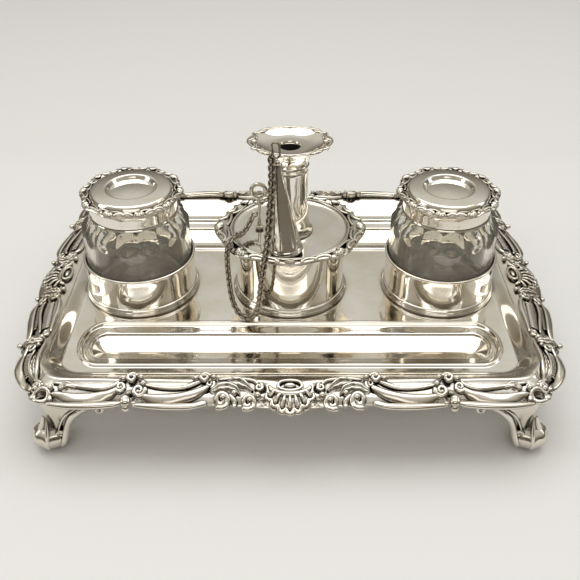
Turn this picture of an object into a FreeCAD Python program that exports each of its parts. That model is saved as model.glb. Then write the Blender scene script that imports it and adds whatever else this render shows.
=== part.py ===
import FreeCAD, Part
import math
import os
import re

import Sketcher

# A silver inkstand: a footed tray with two pen wells, two hinged-lid ink bottles in galleries, and
# between them a wafer pot whose cover is a small chamber candlestick with a nozzle and a snuffer.
# The origin is on the table under the middle of the tray, +X to the right, +Y to the rear, +Z up.

# Driving dimensions, in millimetres, and angles in degrees.
DIMENSIONS = {
    # tray
    "floor_top": 38, "sheet": 1.2, "floor_half_x": 129, "floor_half_y": 85, "floor_corner": 12,
    "rim_rise": 6, "rim_run": 9,
    # pen wells
    "well_mid_y": 59.5, "well_half_x": 121, "well_half_y": 18, "well_depth": 7,
    "well_bottom_half_x": 108, "well_bottom_half_y": 4, "bead_radius": 1.5,
    # cast border
    "border_low": 38, "border_high": 46.5, "border_bevel": 3.5, "border_wall": 2.5, "border_crest": 3,
    "border_lap": 2, "solder_gap": 0.05,
    # feet
    "foot_x": 134, "foot_y": 104.5, "toe_radius": 9.5, "toe_high": 14, "ankle_arm": 8, "ankle_z": 9,
    "knee_z": 31, "foot_arm": 31, "foot_wall": 4, "foot_back": 2,
    # bottle holders
    "holder_x": 94, "gallery_radius": 33.7, "gallery_wall": 0.8, "gallery_top": 63.5,
    "gallery_flange": 1.2, "pot_flange": 2.4, "flange_high": 4, "bead_out": 0.8, "bead_high": 2.2,
    # bottles
    "glass_radius": 32.4, "glass_low": 38.3, "glass_shoulder": 86, "glass_ledge": 92.5, "neck_radius": 24.4,
    "neck_top": 101.5, "ledge_radius": 26.4, "cavity_radius": 27, "cavity_low": 45, "cavity_top": 84,
    "mouth_radius": 17,
    # collars, lids and their hinges
    "collar_inner": 24.7, "collar_wall": 1.1, "collar_top": 103, "lid_low": 103.3, "lid_sheet": 1,
    "lid_radius": 28.5, "dome_radius": 24.5, "boss_radius": 14.5, "dome_rise": 2.6, "dish_radius": 10,
    "lid_top": 109, "dish_deep": 2.4, "lid_border_inner": 25.6, "lid_border_outer": 31, "lid_border_high": 2.6,
    "hinge_y": 27.9, "hinge_z": 101.4, "barrel_radius": 1.6, "pin_radius": 0.8, "pin_clearance": 0.05,
    "barrel_half": 6, "knuckle_half": 2.4, "knuckle_gap": 0.3,
    # wafer pot
    "pot_radius": 33.5, "pot_wall": 1, "pot_top": 78, "pot_floor": 1,
    # chamber candlestick that covers the pot
    "pan_low": 78.3, "pan_top": 79.5, "pan_radius": 37.5, "plug_radius": 32, "plug_wall": 0.9,
    "plug_low": 73.5, "pan_border_inner": 35, "pan_border_high": 3.5, "pan_border_mean": 42.6,
    "pan_border_oval": 2.6, "pan_border_lobe": 1,
    "column_foot": 13.9, "column_foot_high": 2.5, "column_radius": 10.6, "column_inner": 8.6,
    "column_low": 79.5, "column_top": 121,
    "nozzle_sleeve": 8.2, "candle_radius": 5.7, "sleeve_low": 104, "nozzle_low": 121.3,
    "nozzle_flare": 15, "nozzle_neck_z": 128, "nozzle_rim": 17, "nozzle_rim_z": 135.2, "nozzle_top": 136.4,
    "drip_inner": 14.5, "drip_long": 23.6, "drip_wide": 19.4, "drip_high": 2.6,
    "ring_x": 18.7, "ring_z": 106, "ring_mean": 4.2, "ring_wire": 0.8, "bracket_half": 1.2,
    "eye_z": 89.5, "eye_mean": 1.6, "eye_wire": 0.55,
    # snuffer
    "snuffer_x": 2, "snuffer_y": 24.5, "snuffer_z": 80.7, "snuffer_lean": 5, "snuffer_radius": 10,
    "snuffer_wall": 0.8, "snuffer_high": 58.5, "snuffer_band": 2.6, "tip_radius": 1.2,
    "loop_half_x": 2.6, "loop_half_z": 5.2, "loop_wire": 1.3,
    # chain, as the plain tube that its links fill
    "chain_radius": 1.6,
}

doc = FreeCAD.newDocument("inkstand")
sheet = doc.addObject("Spreadsheet::Sheet", "dims")
for row, (alias, number) in enumerate(DIMENSIONS.items(), start=1):
    sheet.set(f"A{row}", alias)
    sheet.set(f"B{row}", str(number))
    sheet.setAlias(f"B{row}", alias)
doc.recompute()

sub_parts = []


def link(text):
    """The expression with each alias written as a reference to the sheet."""
    return re.sub(r"[a-z]\w*", lambda found: "dims." + found.group(0), str(text))


def value(text):
    """The number that an expression of the sheet's aliases stands for."""
    return float(sheet.evalExpression(link(text)))


def keep(piece, label):
    """Names a finished sub-part, which gets a file of its own."""
    piece.Label = label
    sub_parts.append(piece)
    return piece


def new_body(name, x="0", y="0"):
    """An empty body whose origin stands at x, y on the table."""
    body = doc.addObject("PartDesign::Body", name)
    body.setExpression("Placement.Base.x", link(x))
    body.setExpression("Placement.Base.y", link(y))
    return body


def new_sketch(body, name, plane="XY_Plane", offset="0"):
    """A sketch on one of the body's origin planes, or at an offset along its normal."""
    sketch = body.newObject("Sketcher::SketchObject", name)
    base = next(o for o in body.Origin.OriginFeatures if o.Role == plane)
    sketch.AttachmentSupport = (base, [""])
    sketch.MapMode = "FlatFace"
    sketch.setExpression("AttachmentOffset.Base.z", link(offset))
    return sketch


def fix_point(sketch, geometry, point, x, y):
    """Holds a point of the sketch at two expressions of the sheet."""
    for kind, text in (("DistanceX", x), ("DistanceY", y)):
        number = sketch.addConstraint(Sketcher.Constraint(kind, -1, 1, geometry, point, value(text)))
        sketch.setExpression(f"Constraints[{number}]", link(text))


def polygon(sketch, corners):
    """A closed polygon whose corners are held at expressions of the sheet."""
    at = [FreeCAD.Vector(value(x), value(y), 0) for x, y in corners]
    count = len(at)
    for i in range(count):
        sketch.addGeometry(Part.LineSegment(at[i], at[(i + 1) % count]), False)
    for i in range(count):
        sketch.addConstraint(Sketcher.Constraint("Coincident", i, 2, (i + 1) % count, 1))
    for i, (x, y) in enumerate(corners):
        fix_point(sketch, i, 1, x, y)


def rounded_rectangle(sketch, half_x, half_y, corner, mid_y="0"):
    """Four lines and four quarter arcs about the middle of the sketch, or about mid_y on its Y axis."""
    radius = value(corner)
    for quarter, (side_x, side_y) in enumerate(((1, 1), (-1, 1), (-1, -1), (1, -1))):
        centre_x = f"{side_x} * ({half_x} - ({corner}))"
        centre_y = f"{mid_y} + {side_y} * ({half_y} - ({corner}))"
        middle = FreeCAD.Vector(value(centre_x), value(centre_y), 0)
        circle = Part.Circle(middle, FreeCAD.Vector(0, 0, 1), radius)
        start = quarter * math.pi / 2
        arc = sketch.addGeometry(Part.ArcOfCircle(circle, start, start + math.pi / 2), False)
        fix_point(sketch, arc, 3, centre_x, centre_y)
        number = sketch.addConstraint(Sketcher.Constraint("Radius", arc, radius))
        sketch.setExpression(f"Constraints[{number}]", link(corner))
        first, last = ("Horizontal", "Vertical") if quarter % 2 == 0 else ("Vertical", "Horizontal")
        sketch.addConstraint(Sketcher.Constraint(first, arc, 1, arc, 3))
        sketch.addConstraint(Sketcher.Constraint(last, arc, 2, arc, 3))
    for arc in range(4):
        after = (arc + 1) % 4
        ends = [getattr(sketch.Geometry[i], side) for i, side in ((arc, "EndPoint"), (after, "StartPoint"))]
        line = sketch.addGeometry(Part.LineSegment(*ends), False)
        sketch.addConstraint(Sketcher.Constraint("Coincident", line, 1, arc, 2))
        sketch.addConstraint(Sketcher.Constraint("Coincident", line, 2, after, 1))


def circle(sketch, radius, x="0", y="0"):
    """A circle held at a centre and a radius from the sheet."""
    middle = FreeCAD.Vector(value(x), value(y), 0)
    geometry = sketch.addGeometry(Part.Circle(middle, FreeCAD.Vector(0, 0, 1), value(radius)), False)
    fix_point(sketch, geometry, 3, x, y)
    number = sketch.addConstraint(Sketcher.Constraint("Radius", geometry, value(radius)))
    sketch.setExpression(f"Constraints[{number}]", link(radius))


def feature(body, kind, name, **settings):
    """A PartDesign feature with its properties set; text settings named in expressions are bound."""
    made = body.newObject("PartDesign::" + kind, name)
    for key, setting in settings.items():
        if isinstance(setting, str) and key in ("Length", "Length2"):
            made.setExpression(key, link(setting))
        else:
            setattr(made, key, setting)
    return made


def loft(body, kind, name, lower, upper):
    """A straight-sided loft between two sketches, added or cut away."""
    return feature(body, kind, name, Profile=lower, Sections=[upper], Ruled=True)


def turned(name, label, outline, x="0", y="0"):
    """A piece turned about the vertical through its body's origin, from an outline of radius and height."""
    body = new_body(name, x, y)
    sketch = new_sketch(body, name + "_outline", "XZ_Plane")
    polygon(sketch, outline)
    feature(body, "Revolution", name + "_turn", Profile=sketch, ReferenceAxis=(sketch, ["V_Axis"]), Angle=360)
    return keep(body, label)


def plain_feature(name, shape):
    """A sub-part whose shape is set by the functions below, for cast ornament that no feature fits."""
    made = doc.addObject("Part::Feature", name)
    made.Shape = shape
    made.Placement = FreeCAD.Placement()
    return keep(made, name)


# ---------------------------------------------------------------- tray

def make_tray():
    """The stamped tray: a flat floor, sloping sides, and two sunk pen wells with a raised bead round each."""
    body = new_body("tray_body")
    under = new_sketch(body, "tray_under", offset="floor_top - sheet")
    rounded_rectangle(under, "floor_half_x", "floor_half_y", "floor_corner")
    over = new_sketch(body, "tray_over", offset="floor_top + rim_rise - sheet")
    rounded_rectangle(over, "floor_half_x + rim_run", "floor_half_y + rim_run", "floor_corner + rim_run")
    loft(body, "AdditiveLoft", "tray_block", under, over)
    for side, name in ((-1, "front"), (1, "rear")):
        mid_y = f"{side} * well_mid_y"
        top = new_sketch(body, name + "_well_skin_top", offset="floor_top - sheet / 2")
        rounded_rectangle(top, "well_half_x + sheet", "well_half_y + sheet", "well_half_y", mid_y)
        low = new_sketch(body, name + "_well_skin_low", offset="floor_top - well_depth - sheet")
        rounded_rectangle(
            low, "well_bottom_half_x + sheet", "well_bottom_half_y + sheet", "well_bottom_half_y", mid_y
        )
        loft(body, "AdditiveLoft", name + "_well_skin", top, low)
    hollow_low = new_sketch(body, "hollow_low", offset="floor_top")
    rounded_rectangle(hollow_low, "floor_half_x", "floor_half_y", "floor_corner")
    hollow_top = new_sketch(body, "hollow_top", offset="floor_top + rim_rise + sheet")
    rounded_rectangle(
        hollow_top, "floor_half_x + rim_run * 1.2", "floor_half_y + rim_run * 1.2", "floor_corner + rim_run"
    )
    loft(body, "SubtractiveLoft", "hollow", hollow_low, hollow_top)
    for side, name in ((-1, "front"), (1, "rear")):
        mid_y = f"{side} * well_mid_y"
        bead = new_sketch(body, name + "_bead", offset="floor_top")
        rounded_rectangle(
            bead, "well_half_x + 2 * bead_radius", "well_half_y + 2 * bead_radius", "well_half_y + bead_radius", mid_y
        )
        feature(body, "Pad", name + "_bead_pad", Profile=bead, Length="bead_radius")
        well_top = new_sketch(body, name + "_well_top", offset="floor_top + bead_radius")
        rounded_rectangle(well_top, "well_half_x + sheet", "well_half_y + sheet", "well_half_y", mid_y)
        well_low = new_sketch(body, name + "_well_low", offset="floor_top - well_depth")
        rounded_rectangle(
            well_low, "well_bottom_half_x", "well_bottom_half_y", "well_bottom_half_y - sheet / 4", mid_y
        )
        loft(body, "SubtractiveLoft", name + "_well", well_top, well_low)
    return keep(body, "tray")


# ---------------------------------------------------------------- cast border

# One quarter of the border's outer edge: the shell at the middle of the front, the long scrolls,
# the corner, the side's lobe and tip, and its scrolls up to the shell at the middle of the side.
BORDER_CORNER = (142.4, 104.6)
BORDER_EDGE = [
    (0, 119), (13, 115.4), (40, 113.2), (66, 112), (103, 109.4), (133, 109.2), BORDER_CORNER,
    (145, 97), (152.3, 83), (157.4, 67), (155, 55), (156.5, 46), (159, 19), (161.5, 0),
]


def border_loop(inset):
    """The border's closed outer edge, drawn in by inset along lines to the tray's middle."""
    quarter = []
    for x, y in BORDER_EDGE:
        shrink = 1 - inset / math.hypot(x, y)
        quarter.append((x * shrink, y * shrink))
    loop = [(x, -y) for x, y in quarter]
    loop += [(x, y) for x, y in reversed(quarter[:-1])]
    loop += [(-x, y) for x, y in quarter[1:]]
    loop += [(-x, -y) for x, y in reversed(quarter[1:-1])]
    return loop


def border_wire(inset, height):
    """One smooth closed wire round the border at a height."""
    curve = Part.BSplineCurve()
    points = [FreeCAD.Vector(x, y, height) for x, y in border_loop(inset)]
    curve.interpolate(Points=points, PeriodicFlag=True)
    return Part.Wire([curve.toShape()])


def rounded_wire(half_x, half_y, corner, height):
    """A level closed wire of four lines and four quarter arcs about the tray's middle."""
    edges, ends = [], []
    for quarter, (side_x, side_y) in enumerate(((1, 1), (-1, 1), (-1, -1), (1, -1))):
        middle = FreeCAD.Vector(side_x * (half_x - corner), side_y * (half_y - corner), height)
        start = quarter * math.pi / 2
        arc = Part.ArcOfCircle(Part.Circle(middle, FreeCAD.Vector(0, 0, 1), corner), start, start + math.pi / 2)
        ends.append((arc.StartPoint, arc.EndPoint))
        edges.append(arc.toShape())
    for quarter in range(4):
        edges.append(Part.LineSegment(ends[quarter][1], ends[(quarter + 1) % 4][0]).toShape())
    return Part.Wire(Part.__sortEdges__(edges))


def rim_block(low, high, reach):
    """A block with sloping sides and round corners, reach(height) beyond the tray's floor."""
    wires = []
    for height in (low, high):
        out = reach(height)
        half_x, half_y, corner = (
            value(name) + out for name in ("floor_half_x", "floor_half_y", "floor_corner")
        )
        wires.append(rounded_wire(half_x, half_y, corner, height))
    return Part.makeLoft(wires, True, True)


def make_borders():
    """Four hollow cast sections that meet in mitres at the corners and lap over the tray's sloping side."""
    low, high, bevel = value("border_low"), value("border_high"), value("border_bevel")
    wall, crest, gap = value("border_wall"), value("border_crest"), value("solder_gap")
    rim_top, under = value("floor_top + rim_rise - sheet") + gap, 1
    slope = value("rim_run / rim_rise")
    band = Part.makeLoft(
        [border_wire(0, low), border_wire(0, high - bevel), border_wire(bevel, high)], True, True
    )
    hollow = Part.makeLoft([border_wire(wall, low - under), border_wire(wall + bevel / 2, high - crest)], True, True)
    tray_side = rim_block(
        low - under, rim_top, lambda height: (height - value("floor_top") + value("sheet")) * slope + gap
    )
    inside = rim_block(rim_top - gap, high + under, lambda height: value("rim_run - border_lap"))
    band = band.cut(hollow).cut(tray_side).cut(inside)
    half_x, half_y = value("floor_half_x"), value("floor_half_y")
    corner_x, corner_y = BORDER_CORNER
    beyond = 4
    outer_x, outer_y = half_x + beyond * (corner_x - half_x), half_y + beyond * (corner_y - half_y)
    wedges = {
        "border_front": [(-half_x, -half_y), (half_x, -half_y), (outer_x, -outer_y), (-outer_x, -outer_y)],
        "border_rear": [(half_x, half_y), (-half_x, half_y), (-outer_x, outer_y), (outer_x, outer_y)],
        "border_right": [(half_x, -half_y), (half_x, half_y), (outer_x, outer_y), (outer_x, -outer_y)],
        "border_left": [(-half_x, half_y), (-half_x, -half_y), (-outer_x, -outer_y), (-outer_x, outer_y)],
    }
    for name, corners in wedges.items():
        edge = [FreeCAD.Vector(a, b, low - under) for a, b in corners + corners[:1]]
        wedge = Part.Face(Part.makePolygon(edge)).extrude(FreeCAD.Vector(0, 0, high - low + 2 * under))
        plain_feature(name, band.common(wedge))


# ---------------------------------------------------------------- feet

def make_foot(name, side_x, side_y):
    """A cast corner foot: a round toe, and a bracket of two arms that widens up to the border."""
    body = new_body(name + "_body", f"{side_x} * foot_x", f"{side_y} * foot_y")
    toe = new_sketch(body, name + "_toe_outline", "XZ_Plane")
    polygon(toe, [
        ("0", "0"), ("toe_radius - 4.5", "0"), ("toe_radius - 1", "toe_high * 0.25"),
        ("toe_radius", "toe_high * 0.6"), ("toe_radius - 3.5", "toe_high"), ("0", "toe_high"),
    ])
    feature(body, "Revolution", name + "_toe", Profile=toe, ReferenceAxis=(toe, ["V_Axis"]), Angle=360)
    sections = []
    outer, inner = "foot_back", "(foot_back - foot_wall)"
    for level, height, arm in (
        ("ankle", "ankle_z", "ankle_arm"), ("knee", "knee_z", "foot_arm"), ("top", "border_low", "foot_arm"),
    ):
        sketch = new_sketch(body, f"{name}_{level}", offset=height)
        reach = f"(foot_back - {arm})"
        corners = [(reach, outer), (outer, outer), (outer, reach), (inner, reach), (inner, inner), (reach, inner)]
        polygon(sketch, [(f"{side_x} * {x}", f"{side_y} * {y}") for x, y in corners])
        sections.append(sketch)
    loft(body, "AdditiveLoft", name + "_flare", sections[0], sections[1])
    loft(body, "AdditiveLoft", name + "_bracket", sections[1], sections[2])
    return keep(body, name)


# ---------------------------------------------------------------- bottle holders and wafer pot

def make_gallery(name, side):
    """A round gallery that a bottle stands in: a thin wall with a flange at its foot and a bead at its top."""
    wall = "gallery_radius - gallery_wall"
    turned(name + "_body", name, [
        (wall, "floor_top"), ("gallery_radius + gallery_flange", "floor_top"),
        ("gallery_radius + gallery_flange", "floor_top + flange_high / 2"),
        ("gallery_radius + gallery_flange / 2", "floor_top + flange_high"),
        ("gallery_radius", "floor_top + flange_high"),
        ("gallery_radius", "gallery_top - bead_high"),
        ("gallery_radius + bead_out", "gallery_top - bead_high * 0.7"),
        ("gallery_radius + bead_out", "gallery_top - bead_high * 0.3"),
        ("gallery_radius", "gallery_top"), (wall, "gallery_top"),
    ], f"{side} * holder_x")


def make_pot():
    """The wafer pot between the bottles, a plain round box with a moulded foot."""
    turned("wafer_pot_body", "wafer_pot", [
        ("0", "floor_top"), ("pot_radius + pot_flange", "floor_top"),
        ("pot_radius + pot_flange", "floor_top + flange_high / 2"),
        ("pot_radius + pot_flange / 2", "floor_top + flange_high"), ("pot_radius", "floor_top + flange_high"),
        ("pot_radius", "pot_top"), ("pot_radius - pot_wall", "pot_top"),
        ("pot_radius - pot_wall", "floor_top + pot_floor"), ("0", "floor_top + pot_floor"),
    ])


# ---------------------------------------------------------------- bottles, collars and lids

def make_bottle(name, side):
    """A thick glass bottle with a rounded shoulder, and a ledge round its neck for the collar."""
    turned(name + "_body", name, [
        ("0", "glass_low"), ("glass_radius - 2", "glass_low"), ("glass_radius", "glass_low + 2"),
        ("glass_radius", "glass_shoulder"), ("glass_radius - 1.2", "glass_shoulder + 3.2"),
        ("ledge_radius + 2", "glass_ledge - 0.6"), ("ledge_radius", "glass_ledge"),
        ("neck_radius", "glass_ledge"), ("neck_radius", "neck_top"), ("mouth_radius", "neck_top"),
        ("mouth_radius", "glass_ledge - 3"), ("cavity_radius", "cavity_top"),
        ("cavity_radius", "cavity_low + 3"), ("cavity_radius - 3", "cavity_low"), ("0", "cavity_low"),
    ], f"{side} * holder_x")


def barrel_on_plate(body, name, low_x, high_x, plate):
    """One hinge knuckle from low_x to high_x: a plate and a barrel along X, bored for the pin."""
    pads = []
    for part_name in ("plate", "barrel"):
        sketch = new_sketch(body, f"{name}_{part_name}", "YZ_Plane", low_x)
        if part_name == "plate":
            polygon(sketch, plate)
        else:
            circle(sketch, "barrel_radius", "hinge_y", "hinge_z")
        pads.append(feature(body, "Pad", f"{name}_{part_name}_pad", Profile=sketch,
                            Length=f"({high_x}) - ({low_x})"))
    return pads


def bore_for_pin(body, name):
    """The hole through a body's knuckles, along X."""
    sketch = new_sketch(body, name + "_bore", "YZ_Plane", "-barrel_half - 1")
    circle(sketch, "pin_radius + pin_clearance", "hinge_y", "hinge_z")
    feature(body, "Pocket", name + "_bore_cut", Profile=sketch, Length="2 * barrel_half + 2", Reversed=True)


def make_collar(name, side):
    """The silver collar on a bottle's neck, with two hinge knuckles at the rear."""
    body = turned(name + "_body", name, [
        ("collar_inner", "glass_ledge"), ("collar_inner + collar_wall", "glass_ledge"),
        ("collar_inner + collar_wall", "collar_top"), ("collar_inner", "collar_top"),
    ], f"{side} * holder_x")
    wall_y = "collar_inner + collar_wall / 2"
    plate = [
        (wall_y, "hinge_z - barrel_radius"), ("hinge_y", "hinge_z - barrel_radius"),
        ("hinge_y", "hinge_z"), (wall_y, "hinge_z"),
    ]
    inner = "knuckle_half + knuckle_gap"
    barrel_on_plate(body, name + "_left", "-barrel_half", f"-({inner})", plate)
    barrel_on_plate(body, name + "_right", inner, "barrel_half", plate)
    bore_for_pin(body, name)
    return body


def make_lid(name, side):
    """The raised lid of a bottle: a flat flange, a low dome with a dished top, and one hinge knuckle below."""
    body = turned(name + "_body", name, [
        ("0", "lid_top - dish_deep"), ("dish_radius", "lid_top - dish_deep"), ("boss_radius", "lid_top"),
        ("dome_radius - 4", "lid_low + dome_rise + 1"), ("dome_radius", "lid_low + lid_sheet"),
        ("lid_radius", "lid_low + lid_sheet"), ("lid_radius", "lid_low"), ("dome_radius - 1.5", "lid_low"),
        ("dome_radius - 5", "lid_low + dome_rise - 0.4"), ("boss_radius + 0.5", "lid_top - lid_sheet - 0.6"),
        ("dish_radius + 0.5", "lid_top - dish_deep - lid_sheet"), ("0", "lid_top - dish_deep - lid_sheet"),
    ], f"{side} * holder_x")
    plate = [
        ("hinge_y", "hinge_z"), ("hinge_y + barrel_radius * 0.9", "hinge_z"),
        ("hinge_y + barrel_radius * 0.9", "lid_low + lid_sheet / 2"), ("hinge_y - 1", "lid_low + lid_sheet / 2"),
        ("hinge_y - 1", "hinge_z + barrel_radius * 0.6"),
    ]
    barrel_on_plate(body, name, "-knuckle_half", "knuckle_half", plate)
    bore_for_pin(body, name)
    return body


def make_pin(name, side):
    """A hinge pin, a plain cylinder along X."""
    pin = doc.addObject("Part::Cylinder", name)
    pin.setExpression("Radius", link("pin_radius"))
    pin.setExpression("Height", link("2 * barrel_half"))
    pin.Placement.Rotation = FreeCAD.Rotation(FreeCAD.Vector(0, 1, 0), 90)
    pin.setExpression("Placement.Base.x", link(f"{side} * holder_x - barrel_half"))
    pin.setExpression("Placement.Base.y", link("hinge_y"))
    pin.setExpression("Placement.Base.z", link("hinge_z"))
    keep(pin, name)


def wavy_ring(inner, outer_at, low, high, centre_x=0.0, centre_y=0.0):
    """A flat cast ring whose outer edge is a smooth closed curve of radius outer_at(angle)."""
    steps = 48
    points = []
    for i in range(steps):
        angle = 2 * math.pi * i / steps
        radius = outer_at(angle)
        points.append(FreeCAD.Vector(centre_x + radius * math.cos(angle), centre_y + radius * math.sin(angle), low))
    curve = Part.BSplineCurve()
    curve.interpolate(Points=points, PeriodicFlag=True)
    face = Part.Face(Part.Wire([curve.toShape()]))
    disc = face.extrude(FreeCAD.Vector(0, 0, high - low))
    hole = Part.makeCylinder(inner, high - low + 2, FreeCAD.Vector(centre_x, centre_y, low - 1))
    return disc.cut(hole)


def make_lid_border(name, side):
    """The cast border round a lid, with ten shallow scallops."""
    low = value("lid_low + lid_sheet")
    outer = value("lid_border_outer")
    plain_feature(name, wavy_ring(
        value("lid_border_inner"), lambda angle: outer - 0.9 + 0.9 * math.cos(10 * angle), low,
        low + value("lid_border_high"), side * value("holder_x"),
    ))


# ---------------------------------------------------------------- chamber candlestick

def make_taper_pan():
    """The pan that covers the pot, with a locating ring below it."""
    turned("taper_pan_body", "taper_pan", [
        ("0", "pan_low"), ("plug_radius - plug_wall", "pan_low"), ("plug_radius - plug_wall", "plug_low"),
        ("plug_radius", "plug_low"), ("plug_radius", "pan_low"), ("pan_radius", "pan_low"),
        ("pan_radius", "pan_top"), ("0", "pan_top"),
    ])


def make_pan_border():
    """The cast border of the pan, wider to the left and right, with lobes between."""
    mean, oval, lobe = value("pan_border_mean"), value("pan_border_oval"), value("pan_border_lobe")
    low = value("pan_top")
    plain_feature("taper_pan_border", wavy_ring(
        value("pan_border_inner"),
        lambda angle: mean + oval * math.cos(2 * angle) + lobe * math.cos(8 * angle),
        low, low + value("pan_border_high"),
    ))


def make_column():
    """The candle column, a tube on a moulded foot that takes the loose nozzle's sleeve."""
    turned("candle_column_body", "candle_column", [
        ("0", "column_low"), ("column_foot", "column_low"), ("column_foot", "column_low + column_foot_high / 2"),
        ("column_radius + 1", "column_low + column_foot_high"), ("column_radius", "column_low + 6"),
        ("column_radius", "column_top"), ("column_inner", "column_top"),
        ("column_inner", "sleeve_low - 2"), ("0", "sleeve_low - 2"),
    ])


def make_nozzle():
    """The loose nozzle: a sleeve for the candle that flares into a drip pan."""
    turned("nozzle_body", "nozzle", [
        ("candle_radius", "sleeve_low"), ("nozzle_sleeve", "sleeve_low"), ("nozzle_sleeve", "nozzle_low"),
        ("column_radius", "nozzle_low"), ("nozzle_flare - 2.4", "nozzle_neck_z"),
        ("nozzle_rim", "nozzle_rim_z"), ("nozzle_rim", "nozzle_top"), ("nozzle_flare - 3", "nozzle_top - 0.6"),
        ("candle_radius", "nozzle_rim_z - 1.5"),
    ])


def make_nozzle_border():
    """The cast border of the drip pan, longer from side to side."""
    long_half, wide_half = value("drip_long"), value("drip_wide")
    low = value("nozzle_top")
    power = 2.6

    def edge(angle):
        reach = abs(math.cos(angle) / long_half) ** power + abs(math.sin(angle) / wide_half) ** power
        return reach ** (-1 / power)

    plain_feature("nozzle_border", wavy_ring(value("drip_inner"), edge, low, low + value("drip_high")))


def make_ring_handle():
    """A finger ring on a short bracket beside the column, with the chain's eye on the bracket."""
    rings = []
    for name, x, height, mean, wire in (
        ("finger_ring", "-ring_x", "ring_z", "ring_mean", "ring_wire"),
        ("chain_eye", "-ring_x - bracket_half - eye_mean", "eye_z", "eye_mean", "eye_wire"),
    ):
        ring = doc.addObject("Part::Torus", name)
        ring.setExpression("Radius1", link(mean))
        ring.setExpression("Radius2", link(wire))
        ring.Placement.Rotation = FreeCAD.Rotation(FreeCAD.Vector(1, 0, 0), 90)
        ring.setExpression("Placement.Base.x", link(x))
        ring.setExpression("Placement.Base.z", link(height))
        rings.append(ring)
    bracket = doc.addObject("Part::Box", "bracket")
    bracket.setExpression("Length", link("2 * bracket_half"))
    bracket.setExpression("Width", link("2 * bracket_half"))
    bracket.setExpression("Height", link("ring_z - ring_mean - pan_top"))
    bracket.setExpression("Placement.Base.x", link("-ring_x - bracket_half"))
    bracket.setExpression("Placement.Base.y", link("-bracket_half"))
    bracket.setExpression("Placement.Base.z", link("pan_top"))
    whole = doc.addObject("Part::MultiFuse", "ring_handle_fuse")
    whole.Shapes = [bracket, *rings]
    keep(whole, "ring_handle")


# ---------------------------------------------------------------- snuffer and chain

def place_leaning(body):
    """Stands a body of the snuffer in front of the column, leaning to the left."""
    body.Placement.Rotation = FreeCAD.Rotation(FreeCAD.Vector(0, 1, 0), -value("snuffer_lean"))
    body.setExpression("Placement.Base.z", link("snuffer_z"))


def make_snuffer():
    """A hollow cone with a band at its mouth, and a tall loop at its tip for the chain."""
    cone = turned("snuffer_cone_body", "snuffer_cone", [
        ("snuffer_radius - snuffer_wall", "0"), ("snuffer_radius", "0"), ("snuffer_radius", "snuffer_band"),
        ("snuffer_radius - 0.7", "snuffer_band"), ("tip_radius", "snuffer_high"), ("0", "snuffer_high"),
        ("0", "snuffer_high - 5"), ("snuffer_radius - snuffer_wall - 0.7", "snuffer_band"),
        ("snuffer_radius - snuffer_wall", "snuffer_band"),
    ], "-snuffer_x", "-snuffer_y")
    place_leaning(cone)
    loop = new_body("snuffer_loop_body", "-snuffer_x", "-snuffer_y")
    outer = new_sketch(loop, "loop_outer", "XZ_Plane", "-loop_wire / 2")
    middle = "(snuffer_high + loop_half_z)"
    rounded_rectangle(outer, "loop_half_x", "loop_half_z", "loop_half_x * 0.98", middle)
    feature(loop, "Pad", "loop_pad", Profile=outer, Length="loop_wire")
    inner = new_sketch(loop, "loop_inner", "XZ_Plane", "-loop_wire")
    rounded_rectangle(
        inner, "loop_half_x - loop_wire", "loop_half_z - loop_wire", "(loop_half_x - loop_wire) * 0.98", middle
    )
    feature(loop, "Pocket", "loop_cut", Profile=inner, Length="2 * loop_wire", Reversed=True)
    place_leaning(loop)
    keep(loop, "snuffer_loop")


# The chain's route from the eye on the bracket, over the pan's edge, down to the tray, and up again
# over the edge beside the snuffer to the loop at its tip.
CHAIN_ROUTE = [
    (-23.0, -2.2, 88.6), (-25.6, -8.0, 84.8), (-29.2, -16.0, 85.0), (-33.2, -22.6, 88.4),
    (-36.8, -29.4, 84.4), (-36.4, -31.0, 66.0), (-35.0, -33.4, 50.0), (-30.6, -37.6, 41.9),
    (-24.4, -41.0, 41.7), (-19.2, -43.4, 48.0), (-17.2, -44.8, 62.0), (-15.6, -45.0, 78.0),
    (-13.6, -41.8, 88.4), (-12.2, -36.2, 97.6), (-11.2, -31.8, 110.0), (-10.1, -29.8, 124.0),
    (-9.8, -28.6, 136.0), (-10.2, -27.0, 143.0),
]
SHARE_OF_RUN = 0.45


def chain_wire():
    """Straight runs joined by tangent arcs, each as large as its two runs allow. Prints the radii."""
    points = [FreeCAD.Vector(*point) for point in CHAIN_ROUTE]
    edges, here, radii = [], points[0], []
    for before, corner, after in zip(points, points[1:], points[2:]):
        into, out = (corner - before), (after - corner)
        cut = SHARE_OF_RUN * min(into.Length, out.Length)
        half_turn = into.getAngle(out) / 2
        radii.append(round(cut / math.tan(half_turn), 1))
        into.normalize()
        out.normalize()
        start, end = corner - into * cut, corner + out * cut
        bisector = (out - into).normalize()
        radius = cut / math.tan(half_turn)
        centre = corner + bisector * (radius / math.cos(half_turn))
        middle = centre - bisector * radius
        edges.append(Part.LineSegment(here, start).toShape())
        edges.append(Part.Arc(start, middle, end).toShape())
        here = end
    edges.append(Part.LineSegment(here, points[-1]).toShape())
    print("chain arc radii, mm:", radii)
    return Part.Wire(edges)


def make_chain():
    """The snuffer's chain as one plain tube along its route."""
    wire = chain_wire()
    radius = value("chain_radius")
    start = wire.Edges[0]
    along = start.tangentAt(start.FirstParameter)
    ring = Part.Wire([Part.Circle(start.valueAt(start.FirstParameter), along, radius).toShape()])
    tube = wire.makePipeShell([ring], True, False)
    share = tube.Volume / (math.pi * radius ** 2 * wire.Length)
    print(f"chain length {wire.Length:.1f} mm, volume over section times length {share:.4f}")
    plain_feature("snuffer_chain", tube)


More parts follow.
